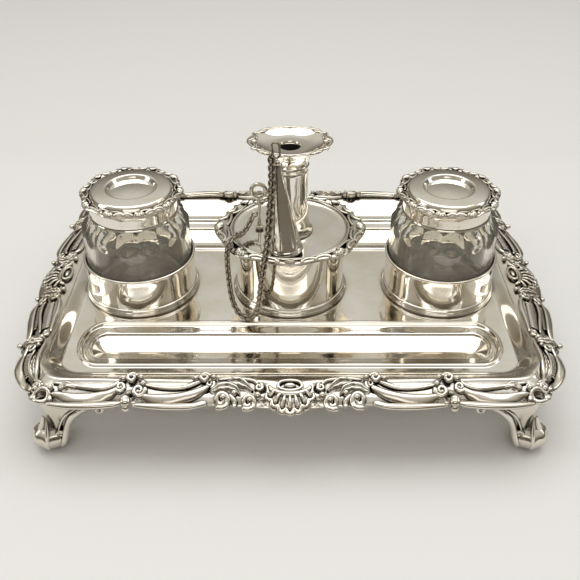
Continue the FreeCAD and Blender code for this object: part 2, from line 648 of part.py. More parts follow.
def main():
    make_tray()
    make_borders()
    for depth, side_y in (("front", -1), ("rear", 1)):
        for hand, side_x in (("left", -1), ("right", 1)):
            make_foot(f"foot_{depth}_{hand}", side_x, side_y)
    make_pot()
    for hand, side in (("left", -1), ("right", 1)):
        make_gallery(hand + "_gallery", side)
        make_bottle(hand + "_bottle", side)
        make_collar(hand + "_collar", side)
        make_pin(hand + "_hinge_pin", side)
        make_lid(hand + "_lid", side)
        make_lid_border(hand + "_lid_border", side)
    make_taper_pan()
    make_pan_border()
    make_column()
    make_ring_handle()
    make_nozzle()
    make_nozzle_border()
    make_snuffer()
    make_chain()
    doc.recompute()

    for item in doc.Objects:
        if {"Invalid", "Error"} & set(item.State):
            raise RuntimeError(f"{item.Name} failed: {item.State}")
    os.makedirs("parts", exist_ok=True)
    for piece in sub_parts:
        shape = piece.Shape
        if shape.isNull() or not shape.isValid():
            raise RuntimeError(f"{piece.Label} has no valid shape")
        print(f"{piece.Label:20s} solids {len(shape.Solids)}  volume {shape.Volume:9.1f}  {shape.BoundBox}")
        shape.exportStep(f"parts/{piece.Label}.step")


main()
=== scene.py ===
import math

import bmesh
import bpy
import numpy as np
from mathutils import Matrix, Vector, geometry


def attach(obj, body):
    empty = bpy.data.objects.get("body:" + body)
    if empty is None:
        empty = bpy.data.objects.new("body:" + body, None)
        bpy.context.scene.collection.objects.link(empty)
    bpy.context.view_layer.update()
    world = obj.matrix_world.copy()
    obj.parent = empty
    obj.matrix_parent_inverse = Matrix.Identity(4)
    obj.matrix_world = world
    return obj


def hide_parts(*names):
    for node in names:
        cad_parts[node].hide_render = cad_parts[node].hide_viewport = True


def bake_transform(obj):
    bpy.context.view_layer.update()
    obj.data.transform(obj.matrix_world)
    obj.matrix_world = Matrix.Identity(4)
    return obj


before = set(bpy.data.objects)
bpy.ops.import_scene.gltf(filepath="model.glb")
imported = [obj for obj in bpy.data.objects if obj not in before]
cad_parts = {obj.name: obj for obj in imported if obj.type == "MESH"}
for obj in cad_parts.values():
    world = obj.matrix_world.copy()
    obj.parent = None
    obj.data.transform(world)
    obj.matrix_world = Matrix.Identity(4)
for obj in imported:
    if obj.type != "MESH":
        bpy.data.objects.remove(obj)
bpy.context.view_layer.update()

# Shapes below are worked out in millimetres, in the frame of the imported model, and made in metres.
MM = 0.001
TAU = 2 * math.pi

# ---------------------------------------------------------------- camera, light and floor

CAMERA_PITCH = 36.23       # degrees below the horizon
CAMERA_FOCAL = 48.1        # mm on a 36 mm sensor
CAMERA_BACK = 0.4053
CAMERA_UP = 0.3300


def make_camera():
    data = bpy.data.cameras.new("camera")
    data.lens = CAMERA_FOCAL
    data.sensor_width = 36
    data.clip_start = 0.01
    camera = bpy.data.objects.new("camera", data)
    camera.location = (0, -CAMERA_BACK, CAMERA_UP)
    camera.rotation_euler = (math.radians(90 - CAMERA_PITCH), 0, 0)
    bpy.context.scene.collection.objects.link(camera)
    bpy.context.scene.camera = camera


def area_light(name, place, aim, size, power, colour=(1, 1, 1)):
    data = bpy.data.lights.new(name, "AREA")
    data.shape = "RECTANGLE"
    data.size, data.size_y = size
    data.energy = power
    data.color = colour
    light = bpy.data.objects.new(name, data)
    light.location = place
    light.rotation_euler = (Vector(aim) - Vector(place)).to_track_quat("-Z", "Y").to_euler()
    bpy.context.scene.collection.objects.link(light)
    return light


def make_world():
    """A pale studio: light above, and darker and warmer towards the horizon and the front."""
    world = bpy.data.worlds.new("studio")
    bpy.context.scene.world = world
    world.use_nodes = True
    nodes, links = world.node_tree.nodes, world.node_tree.links
    nodes.clear()
    coordinate = nodes.new("ShaderNodeTexCoord")
    split = nodes.new("ShaderNodeSeparateXYZ")
    links.new(coordinate.outputs["Generated"], split.inputs[0])
    height = ramp_node(nodes, links, split.outputs["Z"], [
        (0.0, (0.12, 0.105, 0.085)), (0.12, (0.19, 0.17, 0.14)), (0.30, (0.30, 0.275, 0.235)),
        (0.50, (0.56, 0.54, 0.485)), (0.62, (0.78, 0.765, 0.70)), (0.80, (0.80, 0.785, 0.735)),
        (0.92, (1.0, 1.0, 0.98)),
    ])
    lean = nodes.new("ShaderNodeMath")
    lean.operation = "MULTIPLY_ADD"
    lean.inputs[1].default_value = lean.inputs[2].default_value = 0.5
    links.new(split.outputs["Y"], lean.inputs[0])
    front = ramp_node(nodes, links, lean.outputs[0], [(0.12, (0.50, 0.455, 0.39)), (0.52, (1, 1, 1))])
    back = nodes.new("ShaderNodeBackground")
    back.inputs[1].default_value = 0.85
    links.new(multiply(nodes, links, height.outputs[0], front.outputs[0]), back.inputs[0])
    out = nodes.new("ShaderNodeOutputWorld")
    links.new(back.outputs[0], out.inputs[0])


def level_rectangle(half_x, half_y, height):
    return [(x * half_x, y * half_y, height) for x, y in ((-1, -1), (1, -1), (1, 1), (-1, 1))]


def stage_sheet(name, points, faces, surface, colour, roughness=0.5):
    """A plain mesh that isn't part of the object, and its shader. surface is its material's name."""
    mesh = bpy.data.meshes.new(name)
    mesh.from_pydata(points, [], faces)
    sheet = bpy.data.objects.new(name, mesh)
    bpy.context.scene.collection.objects.link(sheet)
    _, _, shader, material = new_material(surface)
    shader.inputs["Base Color"].default_value = (*colour, 1)
    shader.inputs["Roughness"].default_value = roughness
    mesh.materials.append(material)
    return sheet, shader


def make_flag():
    """A dark card on the floor round the set, seen only in reflections, as flags are used for silver."""
    up = 0.0015
    points = level_rectangle(0.30, 0.25, up) + level_rectangle(3.0, 3.0, up)
    flag, _ = stage_sheet("flag", points, ring_faces(2, 4), "dark_card", (0.15, 0.13, 0.105), 0.9)
    flag.visible_camera = flag.visible_diffuse = flag.visible_transmission = flag.visible_shadow = False


def make_backdrop():
    """A pale wall far behind the floor all round, so the horizon is plain from any side."""
    count, reach, height = 64, 3.95, 3.0
    turn = np.linspace(0, TAU, count, endpoint=False)
    points = [(reach * math.cos(a), reach * math.sin(a), z) for z in (0, height) for a in turn]
    wall, shader = stage_sheet("backdrop", points, ring_faces(2, count), "pale_wall", (0.05, 0.05, 0.05))
    shader.inputs["Emission Color"].default_value = (0.72, 0.715, 0.69, 1)
    shader.inputs["Emission Strength"].default_value = 0.9
    wall.visible_glossy = wall.visible_diffuse = wall.visible_shadow = False


def make_stage():
    """The pale floor and wall, the softboxes and the world."""
    stage_sheet("floor", level_rectangle(4.0, 4.0, 0), [(0, 1, 2, 3)], "pale_floor", (0.79, 0.79, 0.78), 0.75)
    area_light("softbox_above", (0.0, 0.25, 1.3), (0, 0.02, 0.05), (1.5, 1.0), 7.3, (1, 0.99, 0.965))
    area_light("softbox_front", (0.0, -1.05, 0.82), (0, 0, 0.05), (0.85, 0.34), 1.05, (1, 0.985, 0.95))
    fill_light = area_light("fill_front", (0.0, -1.3, 0.9), (0, 0, 0.02), (1.6, 0.9), 4.2, (1, 0.99, 0.97))
    fill_light.visible_glossy = False
    area_light("softbox_left", (-1.2, -0.2, 0.65), (0, 0, 0.07), (0.4, 0.7), 1.6, (1, 0.97, 0.93))
    area_light("softbox_right", (1.2, 0.1, 0.7), (0, 0, 0.07), (0.35, 0.6), 1.0, (0.95, 0.98, 1))
    make_flag()
    make_backdrop()
    make_world()
    view = bpy.context.scene.view_settings
    view.view_transform = "Standard"
    view.look = "None"
    view.exposure = 0.0


# ---------------------------------------------------------------- materials

def new_material(name):
    material = bpy.data.materials.new(name)
    material.use_nodes = True
    tree = material.node_tree
    return tree.nodes, tree.links, tree.nodes["Principled BSDF"], material


def noise_node(nodes, links, scale, detail=3.0):
    place = nodes.new("ShaderNodeTexCoord")
    texture = nodes.new("ShaderNodeTexNoise")
    texture.inputs["Scale"].default_value = scale
    texture.inputs["Detail"].default_value = detail
    links.new(place.outputs["Object"], texture.inputs["Vector"])
    return texture


def ramp_node(nodes, links, source, stops):
    ramp = nodes.new("ShaderNodeValToRGB")
    band = ramp.color_ramp
    band.elements[0].position, band.elements[0].color = stops[0][0], (*stops[0][1], 1)
    band.elements[1].position, band.elements[1].color = stops[-1][0], (*stops[-1][1], 1)
    for place, colour in stops[1:-1]:
        band.elements.new(place).color = (*colour, 1)
    links.new(source, ramp.inputs[0])
    return ramp


def multiply(nodes, links, first, second):
    mix = nodes.new("ShaderNodeMix")
    mix.data_type = "RGBA"
    mix.blend_type = "MULTIPLY"
    mix.inputs["Factor"].default_value = 1.0
    links.new(first, mix.inputs["A"])
    links.new(second, mix.inputs["B"])
    return mix.outputs["Result"]


def rough_by_noise(nodes, links, shader, scale, detail, seen, rough):
    """Roughness that goes from the least to the most in rough, as a noise goes through the range seen."""
    smear = noise_node(nodes, links, scale, detail)
    gloss = nodes.new("ShaderNodeMapRange")
    gloss.inputs["From Min"].default_value, gloss.inputs["From Max"].default_value = seen
    gloss.inputs["To Min"].default_value, gloss.inputs["To Max"].default_value = rough
    links.new(smear.outputs["Fac"], gloss.inputs["Value"])
    links.new(gloss.outputs[0], shader.inputs["Roughness"])


def bump_surface(nodes, links, shader, height, strength, distance):
    bump = nodes.new("ShaderNodeBump")
    bump.inputs["Strength"].default_value = strength
    bump.inputs["Distance"].default_value = distance
    links.new(height, bump.inputs["Height"])
    links.new(bump.outputs[0], shader.inputs["Normal"])


def silver(name, bright, dark, reach, rough, unevenness):
    """Silver that is bright where it is rubbed and dark in its recesses, with a slightly uneven surface. The
    dark is partly oxide and partly painted shade, taken from how occluded each point is.
    reach is how near the walls of a hollow are, in metres, and rough the least and most roughness."""
    nodes, links, shader, material = new_material(name)
    shader.inputs["Metallic"].default_value = 1.0
    # painted shade: occlusion darkens the base colour in hollows and joins, together with the oxide there
    hollow = nodes.new("ShaderNodeAmbientOcclusion")
    hollow.samples = 6
    hollow.inputs["Distance"].default_value = reach
    between = tuple(0.50 * a + 0.50 * b for a, b in zip(dark, bright))
    oxide_and_shade = ramp_node(nodes, links, hollow.outputs["AO"], [(0.22, dark), (0.52, between), (0.82, bright)])
    cloud = noise_node(nodes, links, 45.0)
    tarnish = ramp_node(nodes, links, cloud.outputs["Fac"], [(0.30, (0.90, 0.865, 0.80)), (0.62, (1, 1, 1))])
    links.new(multiply(nodes, links, oxide_and_shade.outputs[0], tarnish.outputs[0]), shader.inputs["Base Color"])
    rough_by_noise(nodes, links, shader, 160.0, 4.0, (0.3, 0.7), rough)
    wave = noise_node(nodes, links, 38.0, 1.0)
    scratch = noise_node(nodes, links, 900.0, 2.0)
    total = nodes.new("ShaderNodeMath")
    total.operation = "MULTIPLY_ADD"
    total.inputs[1].default_value = 0.05
    links.new(scratch.outputs["Fac"], total.inputs[0])
    links.new(wave.outputs["Fac"], total.inputs[2])
    bump_surface(nodes, links, shader, total.outputs[0], unevenness, 0.0012)
    return material


def cut_glass():
    nodes, links, shader, material = new_material("cut_glass")
    shader.inputs["Base Color"].default_value = (0.92, 0.885, 0.79, 1)
    shader.inputs["Transmission Weight"].default_value = 0.90
    shader.inputs["IOR"].default_value = 1.5
    rough_by_noise(nodes, links, shader, 120.0, 3.0, (0.4, 0.8), (0.01, 0.08))
    ripple = noise_node(nodes, links, 60.0, 1.0)
    bump_surface(nodes, links, shader, ripple.outputs["Fac"], 0.08, 0.001)
    return material


# Each silver's second colour is the dark of its hollows: partly oxide, partly painted shade.
POLISHED = silver("polished_silver", (0.895, 0.868, 0.815), (0.20, 0.165, 0.13), 0.006, (0.05, 0.12), 0.10)
CAST = silver("cast_silver", (0.81, 0.772, 0.705), (0.035, 0.027, 0.020), 0.0060, (0.13, 0.24), 0.16)
CHAIN_METAL = silver("chain_silver", (0.40, 0.36, 0.30), (0.02, 0.016, 0.012), 0.0022, (0.2, 0.34), 0.1)
# near-black silver for the nozzle's bore: painted shade of the deep hole
BORE_SHADE = silver("bore_shade_black", (0.016, 0.015, 0.014), (0.004, 0.004, 0.004), 0.004, (0.5, 0.7), 0.1)
GLASS = cut_glass()


# ---------------------------------------------------------------- mesh tools

class Part:
    """Closed shells gathered into one piece. Points are in millimetres."""

    def __init__(self):
        self.points = []
        self.faces = []
        self.count = 0

    def add(self, points, faces):
        points = np.asarray(points, float).reshape(-1, 3)
        self.points.append(points)
        self.faces += [tuple(int(i) + self.count for i in face) for face in faces]
        self.count += len(points)

    def copy_mapped(self, move):
        """Adds a copy of everything so far, moved by a function of the points."""
        faces, points = list(self.faces), np.concatenate(self.points)
        self.add(move(points), faces)

    def moved(self, move):
        """A new part like this one, moved by a function of the points."""
        part = Part()
        part.add(move(np.concatenate(self.points)), self.faces)
        return part

    def build(self, name, body, material, slot, replaces=(), smooth_angle=None):
        mesh = bpy.data.meshes.new(name)
        points = np.concatenate(self.points) * MM
        mesh.from_pydata([tuple(p) for p in points], [], self.faces)
        work = bmesh.new()
        work.from_mesh(mesh)
        bmesh.ops.recalc_face_normals(work, faces=work.faces)
        work.to_mesh(mesh)
        work.free()
        mesh.materials.append(material)
        mesh.polygons.foreach_set("use_smooth", [True] * len(mesh.polygons))
        if smooth_angle is not None:
            mesh.set_sharp_from_angle(angle=math.radians(smooth_angle))
        piece = bpy.data.objects.new(name, mesh)
        bpy.context.scene.collection.objects.link(piece)
        if body is not None:
            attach(piece, body)
        if replaces:
            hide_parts(*replaces)
        return piece


def ring_faces(rows, around, closed=False):
    """Quads of a tube of rows rings with around points each. A closed tube's last ring meets its first."""
    faces = []
    for row in range(rows if closed else rows - 1):
        a, b = row * around, (row + 1) % rows * around
        for i in range(around):
            k = (i + 1) % around
            faces.append((a + i, a + k, b + k, b + i))
    return faces


def cap_faces(low, high, last, around):
    """Triangles that join a tube's first ring to point low, and its last ring to point high.
    last is the number of the last ring's first point."""
    faces = []
    for i in range(around):
        k = (i + 1) % around
        faces += [(low, k, i), (high, last + i, last + k)]
    return faces


def level_ring(angle, reach, height, centre=(0, 0)):
    """Points at the given angles and height round a vertical through centre."""
    return np.column_stack([centre[0] + reach * np.cos(angle), centre[1] + reach * np.sin(angle),
                            np.full(len(angle), height)])


def upright_ring(x, z, radius, count=40):
    """A circle in the XZ plane."""
    turn = np.linspace(0, TAU, count, endpoint=False)
    return np.column_stack([x + radius * np.cos(turn), np.zeros(count), z + radius * np.sin(turn)])


def catmull(points, steps=8, closed=False):
    """A smooth line through points, with steps spans between neighbours."""
    points = np.asarray(points, float)
    count = len(points)
    if closed:
        ring = [points[i % count] for i in range(-1, count + 2)]
    else:
        ring = [2 * points[0] - points[1], *points, 2 * points[-1] - points[-2]]
    ring = np.array(ring)
    t = np.linspace(0, 1, steps, endpoint=False)[:, None]
    spans = []
    for a, b, c, d in zip(ring, ring[1:], ring[2:], ring[3:]):
        spans.append(0.5 * (2 * b + (c - a) * t + (2 * a - 5 * b + 4 * c - d) * t ** 2
                            + (3 * b - a - 3 * c + d) * t ** 3))
    line = np.concatenate(spans)
    return line if closed else np.vstack([line, points[-1]])


def unit(vectors):
    return vectors / np.maximum(np.linalg.norm(vectors, axis=-1, keepdims=True), 1e-9)


def sweep(part, line, radii, up=(0, 0, 1), around=10, flat=1.0):
    """A closed tube along a line. radii is one radius for each point, and flat its height over its width."""
    line = np.asarray(line, float)
    radii = np.broadcast_to(np.asarray(radii, float), (len(line),))
    along = unit(np.gradient(line, axis=0))
    side = unit(np.cross(along, np.asarray(up, float)))
    over = np.cross(side, along)
    angle = np.linspace(0, TAU, around, endpoint=False)
    ring = (side[:, None] * np.cos(angle)[None, :, None]
            + over[:, None] * (flat * np.sin(angle))[None, :, None]) * radii[:, None, None]
    points = (line[:, None] + ring).reshape(-1, 3)
    ends = np.array([line[0] - along[0] * radii[0] * 0.7, line[-1] + along[-1] * radii[-1] * 0.7])
    count = len(points)
    part.add(np.vstack([points, ends]),
             ring_faces(len(line), around) + cap_faces(count, count + 1, count - around, around))


def bump_radii(count, start, middle, end, power=1.0):
    """Radii that swell from start to middle and fall to end."""
    t = np.linspace(0, 1, count)
    swell = np.sin(math.pi * t) ** power
    return (start * (1 - t) + end * t) * (1 - swell) + middle * swell


def ball(part, centre, radii, rows=7, around=12):
    """A closed ellipsoid."""
    centre, radii = np.asarray(centre, float), np.broadcast_to(np.asarray(radii, float), (3,))
    angle = np.linspace(0, TAU, around, endpoint=False)
    turns = [math.pi * row / rows for row in range(1, rows)]
    points = [centre + level_ring(angle, np.sin(turn), math.cos(turn)) * radii for turn in turns]
    points = np.vstack(points + [[centre + [0, 0, radii[2]]], [centre - [0, 0, radii[2]]]])
    count = len(points) - 2
    part.add(points, ring_faces(rows - 1, around) + cap_faces(count, count + 1, count - around, around))


def lathe(part, profile, centre=(0, 0), around=96, radius_at=None):
    """A closed shell turned about a vertical through centre. profile is radius and height, in order.
    radius_at(angle, radius, height) may change the radius."""
    profile = np.asarray(profile, float)
    angle = np.linspace(0, TAU, around, endpoint=False)
    rings = []
    for radius, height in profile:
        reach = radius if radius_at is None else radius_at(angle, radius, height)
        rings.append(level_ring(angle, reach, height, centre))
    points = np.concatenate(rings)
    if abs(profile[0][0]) > 1e-6 or abs(profile[-1][0]) > 1e-6:
        part.add(points, ring_faces(len(profile), around, closed=True))
        return
    poles = np.array([[*centre, profile[0][1]], [*centre, profile[-1][1]]])
    count = (len(profile) - 2) * around
    part.add(np.vstack([points[around:-around], poles]),
             ring_faces(len(profile) - 2, around) + cap_faces(count, count + 1, count - around, around))


def rounded(profile, radius=0.4, steps=3, closed=False):
    """The profile with its corners turned into small arcs. A point may carry its own radius."""
    points = [np.array(p[:2], float) for p in profile]
    own = [p[2] if len(p) > 2 else radius for p in profile]
    count, out = len(points), []
    for i, here in enumerate(points):
        if not closed and i in (0, count - 1):
            out.append(here)
            continue
        before, after = points[i - 1], points[(i + 1) % count]
        into, away = before - here, after - here
        reach_in, reach_out = np.linalg.norm(into), np.linalg.norm(away)
        cut = min(own[i], 0.45 * reach_in, 0.45 * reach_out)
        if cut < 1e-3:
            out.append(here)
            continue
        start, end = here + into / reach_in * cut, here + away / reach_out * cut
        for k in range(steps + 1):
            t = k / steps
            out.append((1 - t) ** 2 * start + 2 * t * (1 - t) * here + t ** 2 * end)
    return np.array(out)


def dense(profile, longest):
    """The profile with its long spans divided."""
    out = [profile[0]]
    for here, after in zip(profile, profile[1:]):
        parts = max(1, math.ceil(np.linalg.norm(np.asarray(after) - here) / longest))
        for k in range(1, parts + 1):
            out.append(here + (np.asarray(after) - here) * k / parts)
    return np.array(out)


# ---------------------------------------------------------------- scrollwork tools

def scroll(start, end, side=1, bend=1.2, curls=(3.4, 3.4), tight=0.86, steps=64):
    """A C-scroll in plan from start to end: a bent middle whose ends curl inwards.
    side is 1 to bulge to the right of start-to-end. bend is how far its middle turns, and curls its ends."""
    t = np.linspace(-1, 1, steps)
    ends = np.where(t < 0, curls[0], curls[1])
    heading = bend * t + ends * np.sign(t) * np.abs(t) ** 6
    speed = 1 - tight * np.abs(t) ** 3
    move = np.stack([np.cos(heading), np.sin(heading)], axis=1) * speed[:, None]
    line = np.cumsum(move, axis=0)
    low, high = int(steps * 0.14), int(steps * 0.86)
    span = line[high] - line[low]
    wanted = np.asarray(end, float) - np.asarray(start, float)
    size = np.linalg.norm(wanted) / np.linalg.norm(span)
    if side < 0:
        line, span = line * [1, -1], span * [1, -1]
    turn = math.atan2(wanted[1], wanted[0]) - math.atan2(span[1], span[0])
    c, s = math.cos(turn), math.sin(turn)
    line = (line - line[low]) @ np.array([[c, s], [-s, c]]) * size
    return line + np.asarray(start, float)


def lay(line, height):
    """A plan line lifted to a height, one number or one for each end."""
    line = np.asarray(line, float)[:, :2]
    levels = np.linspace(*height, len(line)) if np.ndim(height) else np.full(len(line), float(height))
    return np.column_stack([line, levels])


def volute(part, start, end, side, height, thick, bend=1.2, curls=(3.4, 3.4), eye=1.25, flat=0.9):
    """A C-scroll tube with a round eye in each curl."""
    line = scroll(start, end, side, bend, curls)
    t = np.abs(np.linspace(-1, 1, len(line)))
    radii = thick * (1 - 0.55 * t ** 2.5)
    sweep(part, lay(line, height), radii, flat=flat)
    levels = height if np.ndim(height) else (height, height)
    for tip, level in ((line[0], levels[0]), (line[-1], levels[1])):
        ball(part, (*tip, level), thick * 0.5 * eye, rows=6, around=10)


def strap(part, points, height, thick, ends=0.35, flat=0.8, power=0.6):
    """A long reed in plan that tapers towards both ends."""
    line = catmull(points, 8)
    sweep(part, lay(line, height), bump_radii(len(line), thick * ends, thick, thick * ends, power), flat=flat)


def leaf(part, points, width, height, lobes=3, rise=1.4, steps=10):
    """A grooved leaf along a plan line, its edges notched into lobes."""
    line = catmull(points, steps)
    rows, across = len(line), 13
    along = unit(np.gradient(line, axis=0))
    side = np.stack([-along[:, 1], along[:, 0]], axis=1)
    t = np.linspace(0, 1, rows)
    notch = 0.80 + 0.20 * np.abs(np.sin(math.pi * lobes * t))
    half = width / 2 * np.sin(math.pi * np.clip(t, 0.02, 0.98) ** 0.75) ** 0.8 * notch
    v = np.linspace(-1, 1, across)
    levels = np.linspace(*height, rows) if np.ndim(height) else np.full(rows, float(height))
    crown = rise * (np.sin(math.pi * np.abs(v)) ** 0.8 * 0.9 + 0.10 - 1.1 * (np.abs(v) > 0.99))
    crown = crown[None, :] * np.sin(math.pi * np.clip(t, 0.03, 0.97))[:, None] ** 0.5
    vein = 0.35 * np.cos(TAU * lobes * t)[:, None] * np.abs(v)[None, :]
    top = np.zeros((rows, across, 3))
    top[..., :2] = line[:, None, :2] + side[:, None] * (half[:, None] * v[None, :])[..., None]
    top[..., 2] = levels[:, None] + crown + vein
    low = top.copy()
    low[..., 2] = levels[:, None] - 1.2
    slab(part, top, low)


def slab(part, top, low):
    """A closed shell between two grids of points, one above the other."""
    rows, across = top.shape[:2]
    count = rows * across
    faces = []
    for r in range(rows - 1):
        for c in range(across - 1):
            a = r * across + c
            faces.append((a, a + 1, a + across + 1, a + across))
            faces.append((count + a, count + a + across, count + a + across + 1, count + a + 1))
    edge = [(0, c) for c in range(across)] + [(r, across - 1) for r in range(1, rows)]
    edge += [(rows - 1, c) for c in range(across - 2, -1, -1)] + [(r, 0) for r in range(rows - 2, 0, -1)]
    loop = [r * across + c for r, c in edge]
    for a, b in zip(loop, loop[1:] + loop[:1]):
        faces.append((a, count + a, count + b, b))
    part.add(np.concatenate([top.reshape(-1, 3), low.reshape(-1, 3)]), faces)


def fan(part, centre, aim, reach, spread, flutes, height, rise=3.2, ridge=0.9, drop=0.0, squash=1.0):
    """A scallop shell: flutes that fan out from centre towards aim, with a scalloped rim.
    reach is its length, spread its half angle in degrees, and drop how far the rim hangs down."""
    rows, across = 16, flutes * 8 + 1
    turn = np.linspace(-1, 1, across)
    angle = math.atan2(aim[1], aim[0]) + np.radians(spread) * turn
    lobe = np.abs(np.cos(math.pi * flutes * (turn + 1) / 2 + math.pi / 2))
    length = reach * (0.90 + 0.10 * lobe) * (1 - (1 - squash) * turn ** 2)
    out = np.linspace(0.12, 1, rows)[:, None]
    top = np.zeros((rows, across, 3))
    top[..., 0] = centre[0] + out * length * np.cos(angle)
    top[..., 1] = centre[1] + out * length * np.sin(angle)
    crown = rise * np.sin(math.pi * np.clip(out * 0.78 + 0.12, 0, 1)) + ridge * lobe * out
    top[..., 2] = height + crown - drop * out ** 3
    low = top.copy()
    low[..., 2] = np.minimum(top[..., 2] - 0.9, height - 0.6 - drop * out ** 3)
    slab(part, top, low)


def hatch(part, start, end, across, count, height, thick=0.38):
    """Short parallel ridges between start and end, each running along across."""
    start, end, across = (np.asarray(v, float) for v in (start, end, across))
    for k in range(count):
        middle = start + (end - start) * (k + 0.5) / count
        ends = np.array([middle - across / 2, middle, middle + across / 2])
        sweep(part, lay(ends, height), (thick * 0.6, thick, thick * 0.6), around=6)


# ---------------------------------------------------------------- tray

FLOOR_Z, SHEET = 38.0, 1.2
FLOOR_HALF = np.array([129.0, 85.0])
FLOOR_CORNER = 12.0
WELL_Y, WELL_STRAIGHT, WELL_HALF = 59.5, 108.0, 17.8
WELL_END = 0.74      # how long a well's rounded end is, over its half width
WELL_ROUND = 0.985   # its corners' radius, over its half width
# How far beyond the floor's edge the tray's side is, and its height there.
SIDE_PROFILE = [
    (-2.6, 0.0), (-1.4, 0.0), (-0.6, 0.04), (0.2, 0.2), (1.2, 0.7), (2.4, 1.45), (4.0, 2.55), (5.6, 3.7),
    (7.0, 4.6), (8.2, 5.1), (9.2, 5.2),
]
# How far outside a pen well's edge its bead and wall are, and their height above the floor.
WELL_PROFILE = [
    (3.9, 0.0), (3.2, 0.0), (2.9, 0.12), (2.5, 0.55), (1.9, 1.0), (1.2, 1.2), (0.6, 1.02), (0.2, 0.5),
    (-0.2, -0.1), (-0.6, -0.5), (-1.1, -0.72), (-2.2, -0.95), (-4.4, -1.25), (-6.2, -1.5), (-6.8, -1.62),
    (-7.05, -1.85), (-7.2, -2.6), (-7.45, -2.92), (-8.0, -3.15), (-10.0, -3.98), (-12.0, -4.81),
    (-14.0, -5.64), (-16.0, -6.47), (-16.8, -6.8), (-17.2, -6.93), (-17.6, -7.0),
]


def rounded_loop(half, corner, mid_y=0.0, arc=20, side_x=36, side_y=22):
    """A closed plan loop: a rectangle with round corners, the same number of points for any size."""
    half, points = np.asarray(half, float), []
    spans = (side_y, side_x, side_y, side_x)
    for quarter, (sx, sy) in enumerate(((1, 1), (-1, 1), (-1, -1), (1, -1))):
        middle = (half - corner) * (sx, sy)
        turn = quarter * TAU / 4 + np.linspace(0, TAU / 4, arc)
        points += list(middle + corner * np.column_stack([np.cos(turn), np.sin(turn)]))
        after = ((-1, 1), (-1, -1), (1, -1), (1, 1))[quarter]
        begin = points[-1]
        finish = (half - corner) * after + corner * np.array([math.cos(turn[-1]), math.sin(turn[-1])])
        count = spans[(quarter + 1) % 4]
        points += [begin + (finish - begin) * k / count for k in range(1, count)]
    return np.array(points) + (0, mid_y)


def loft_loops(loops, heights):
    """Points and quads of a surface through closed plan loops, each at its height."""
    around = len(loops[0])
    points = np.concatenate([np.column_stack([loop, np.full(around, z)]) for loop, z in zip(loops, heights)])
    return points, ring_faces(len(loops), around)


def fill(points, loops_of):
    """Triangles that fill the first closed loop of point numbers, less the others."""
    edges, flat, numbers = [], [], []
    for loop in loops_of:
        first = len(flat)
        flat += [Vector(points[i][:2]) for i in loop]
        numbers += list(loop)
        edges += [(first + k, first + (k + 1) % len(loop)) for k in range(len(loop))]
    made = geometry.delaunay_2d_cdt(flat, edges, [], 1, 1e-6)
    holes = [np.array([points[i][:2] for i in loop]) for loop in loops_of[1:]]
    faces = []
    for face in made[2]:
        ids = [numbers[made[3][i][0]] for i in face]
        middle = np.mean([points[i][:2] for i in ids], axis=0)
        if not any(inside(middle, hole) for hole in holes):
            faces.append(tuple(ids))
    return faces


def inside(point, loop):
    """Whether a plan point is inside a closed loop."""
    x, y = loop[:, 0] - point[0], loop[:, 1] - point[1]
    turn = np.arctan2(x * np.roll(y, -1) - y * np.roll(x, -1), x * np.roll(x, -1) + y * np.roll(y, -1))
    return abs(turn.sum()) > math.pi


def make_tray():
    """The stamped tray with its rising sides and the two beaded pen wells."""
    points, faces = loft_loops(
        [rounded_loop(FLOOR_HALF + out, FLOOR_CORNER + out) for out, _ in SIDE_PROFILE],
        [FLOOR_Z + up for _, up in SIDE_PROFILE],
    )
    around = len(points) // len(SIDE_PROFILE)
    rim = list(range(len(points) - around, len(points)))
    loops = [list(range(around))]
    for mid_y in (-WELL_Y, WELL_Y):
        wells, heights = [], []
        for out, up in WELL_PROFILE:
            half = WELL_HALF + out
            loop = rounded_loop((WELL_STRAIGHT + half, half), half * WELL_ROUND, mid_y, 26, 60, 2)
            over = np.maximum(np.abs(loop[:, 0]) - WELL_STRAIGHT, 0)
            loop[:, 0] -= np.sign(loop[:, 0]) * over * (1 - WELL_END)
            wells.append(loop)
            heights.append(FLOOR_Z + up)
        more, more_faces = loft_loops(wells, heights)
        count, ring = len(points), len(wells[0])
        faces += [tuple(i + count for i in face) for face in more_faces]
        points = np.vstack([points, more])
        loops.append(list(range(count, count + ring)))
        faces += fill(points, [list(range(len(points) - ring, len(points)))])
    faces += fill(points, loops)
    total = len(points)
    under = points - (0, 0, SHEET)
    faces += [tuple(i + total for i in reversed(face)) for face in faces]
    for a, b in zip(rim, rim[1:] + rim[:1]):
        faces.append((a, b, b + total, a + total))
    part = Part()
    part.add(np.vstack([points, under]), faces)
    return part.build("tray_sheet", "stand", POLISHED, "polished_silver", ["tray"], smooth_angle=50)


# ---------------------------------------------------------------- cast border

# One quarter of the border's outer edge, from the middle of the rear to the middle of the right side.
EDGE_QUARTER = [
    (0, 118.4), (6, 117.8), (13, 114.6), (26, 113.6), (40, 112.8), (54, 112.6), (66, 111.8), (78, 110.8),
    (88, 111.2), (103, 109.6), (120, 109.3), (132, 109.6), (139, 107.6), (142.0, 103.6), (144.2, 97),
    (149.6, 90), (152.2, 83), (152.6, 75), (156.0, 67), (153.6, 60.5), (153.8, 55), (155.8, 46), (157.6, 34),
    (157.6, 22), (160.2, 12), (161.2, 0),
]
BORDER_IN = 7.4      # how far beyond the floor's edge the border begins
BORDER_TOP = 44.0
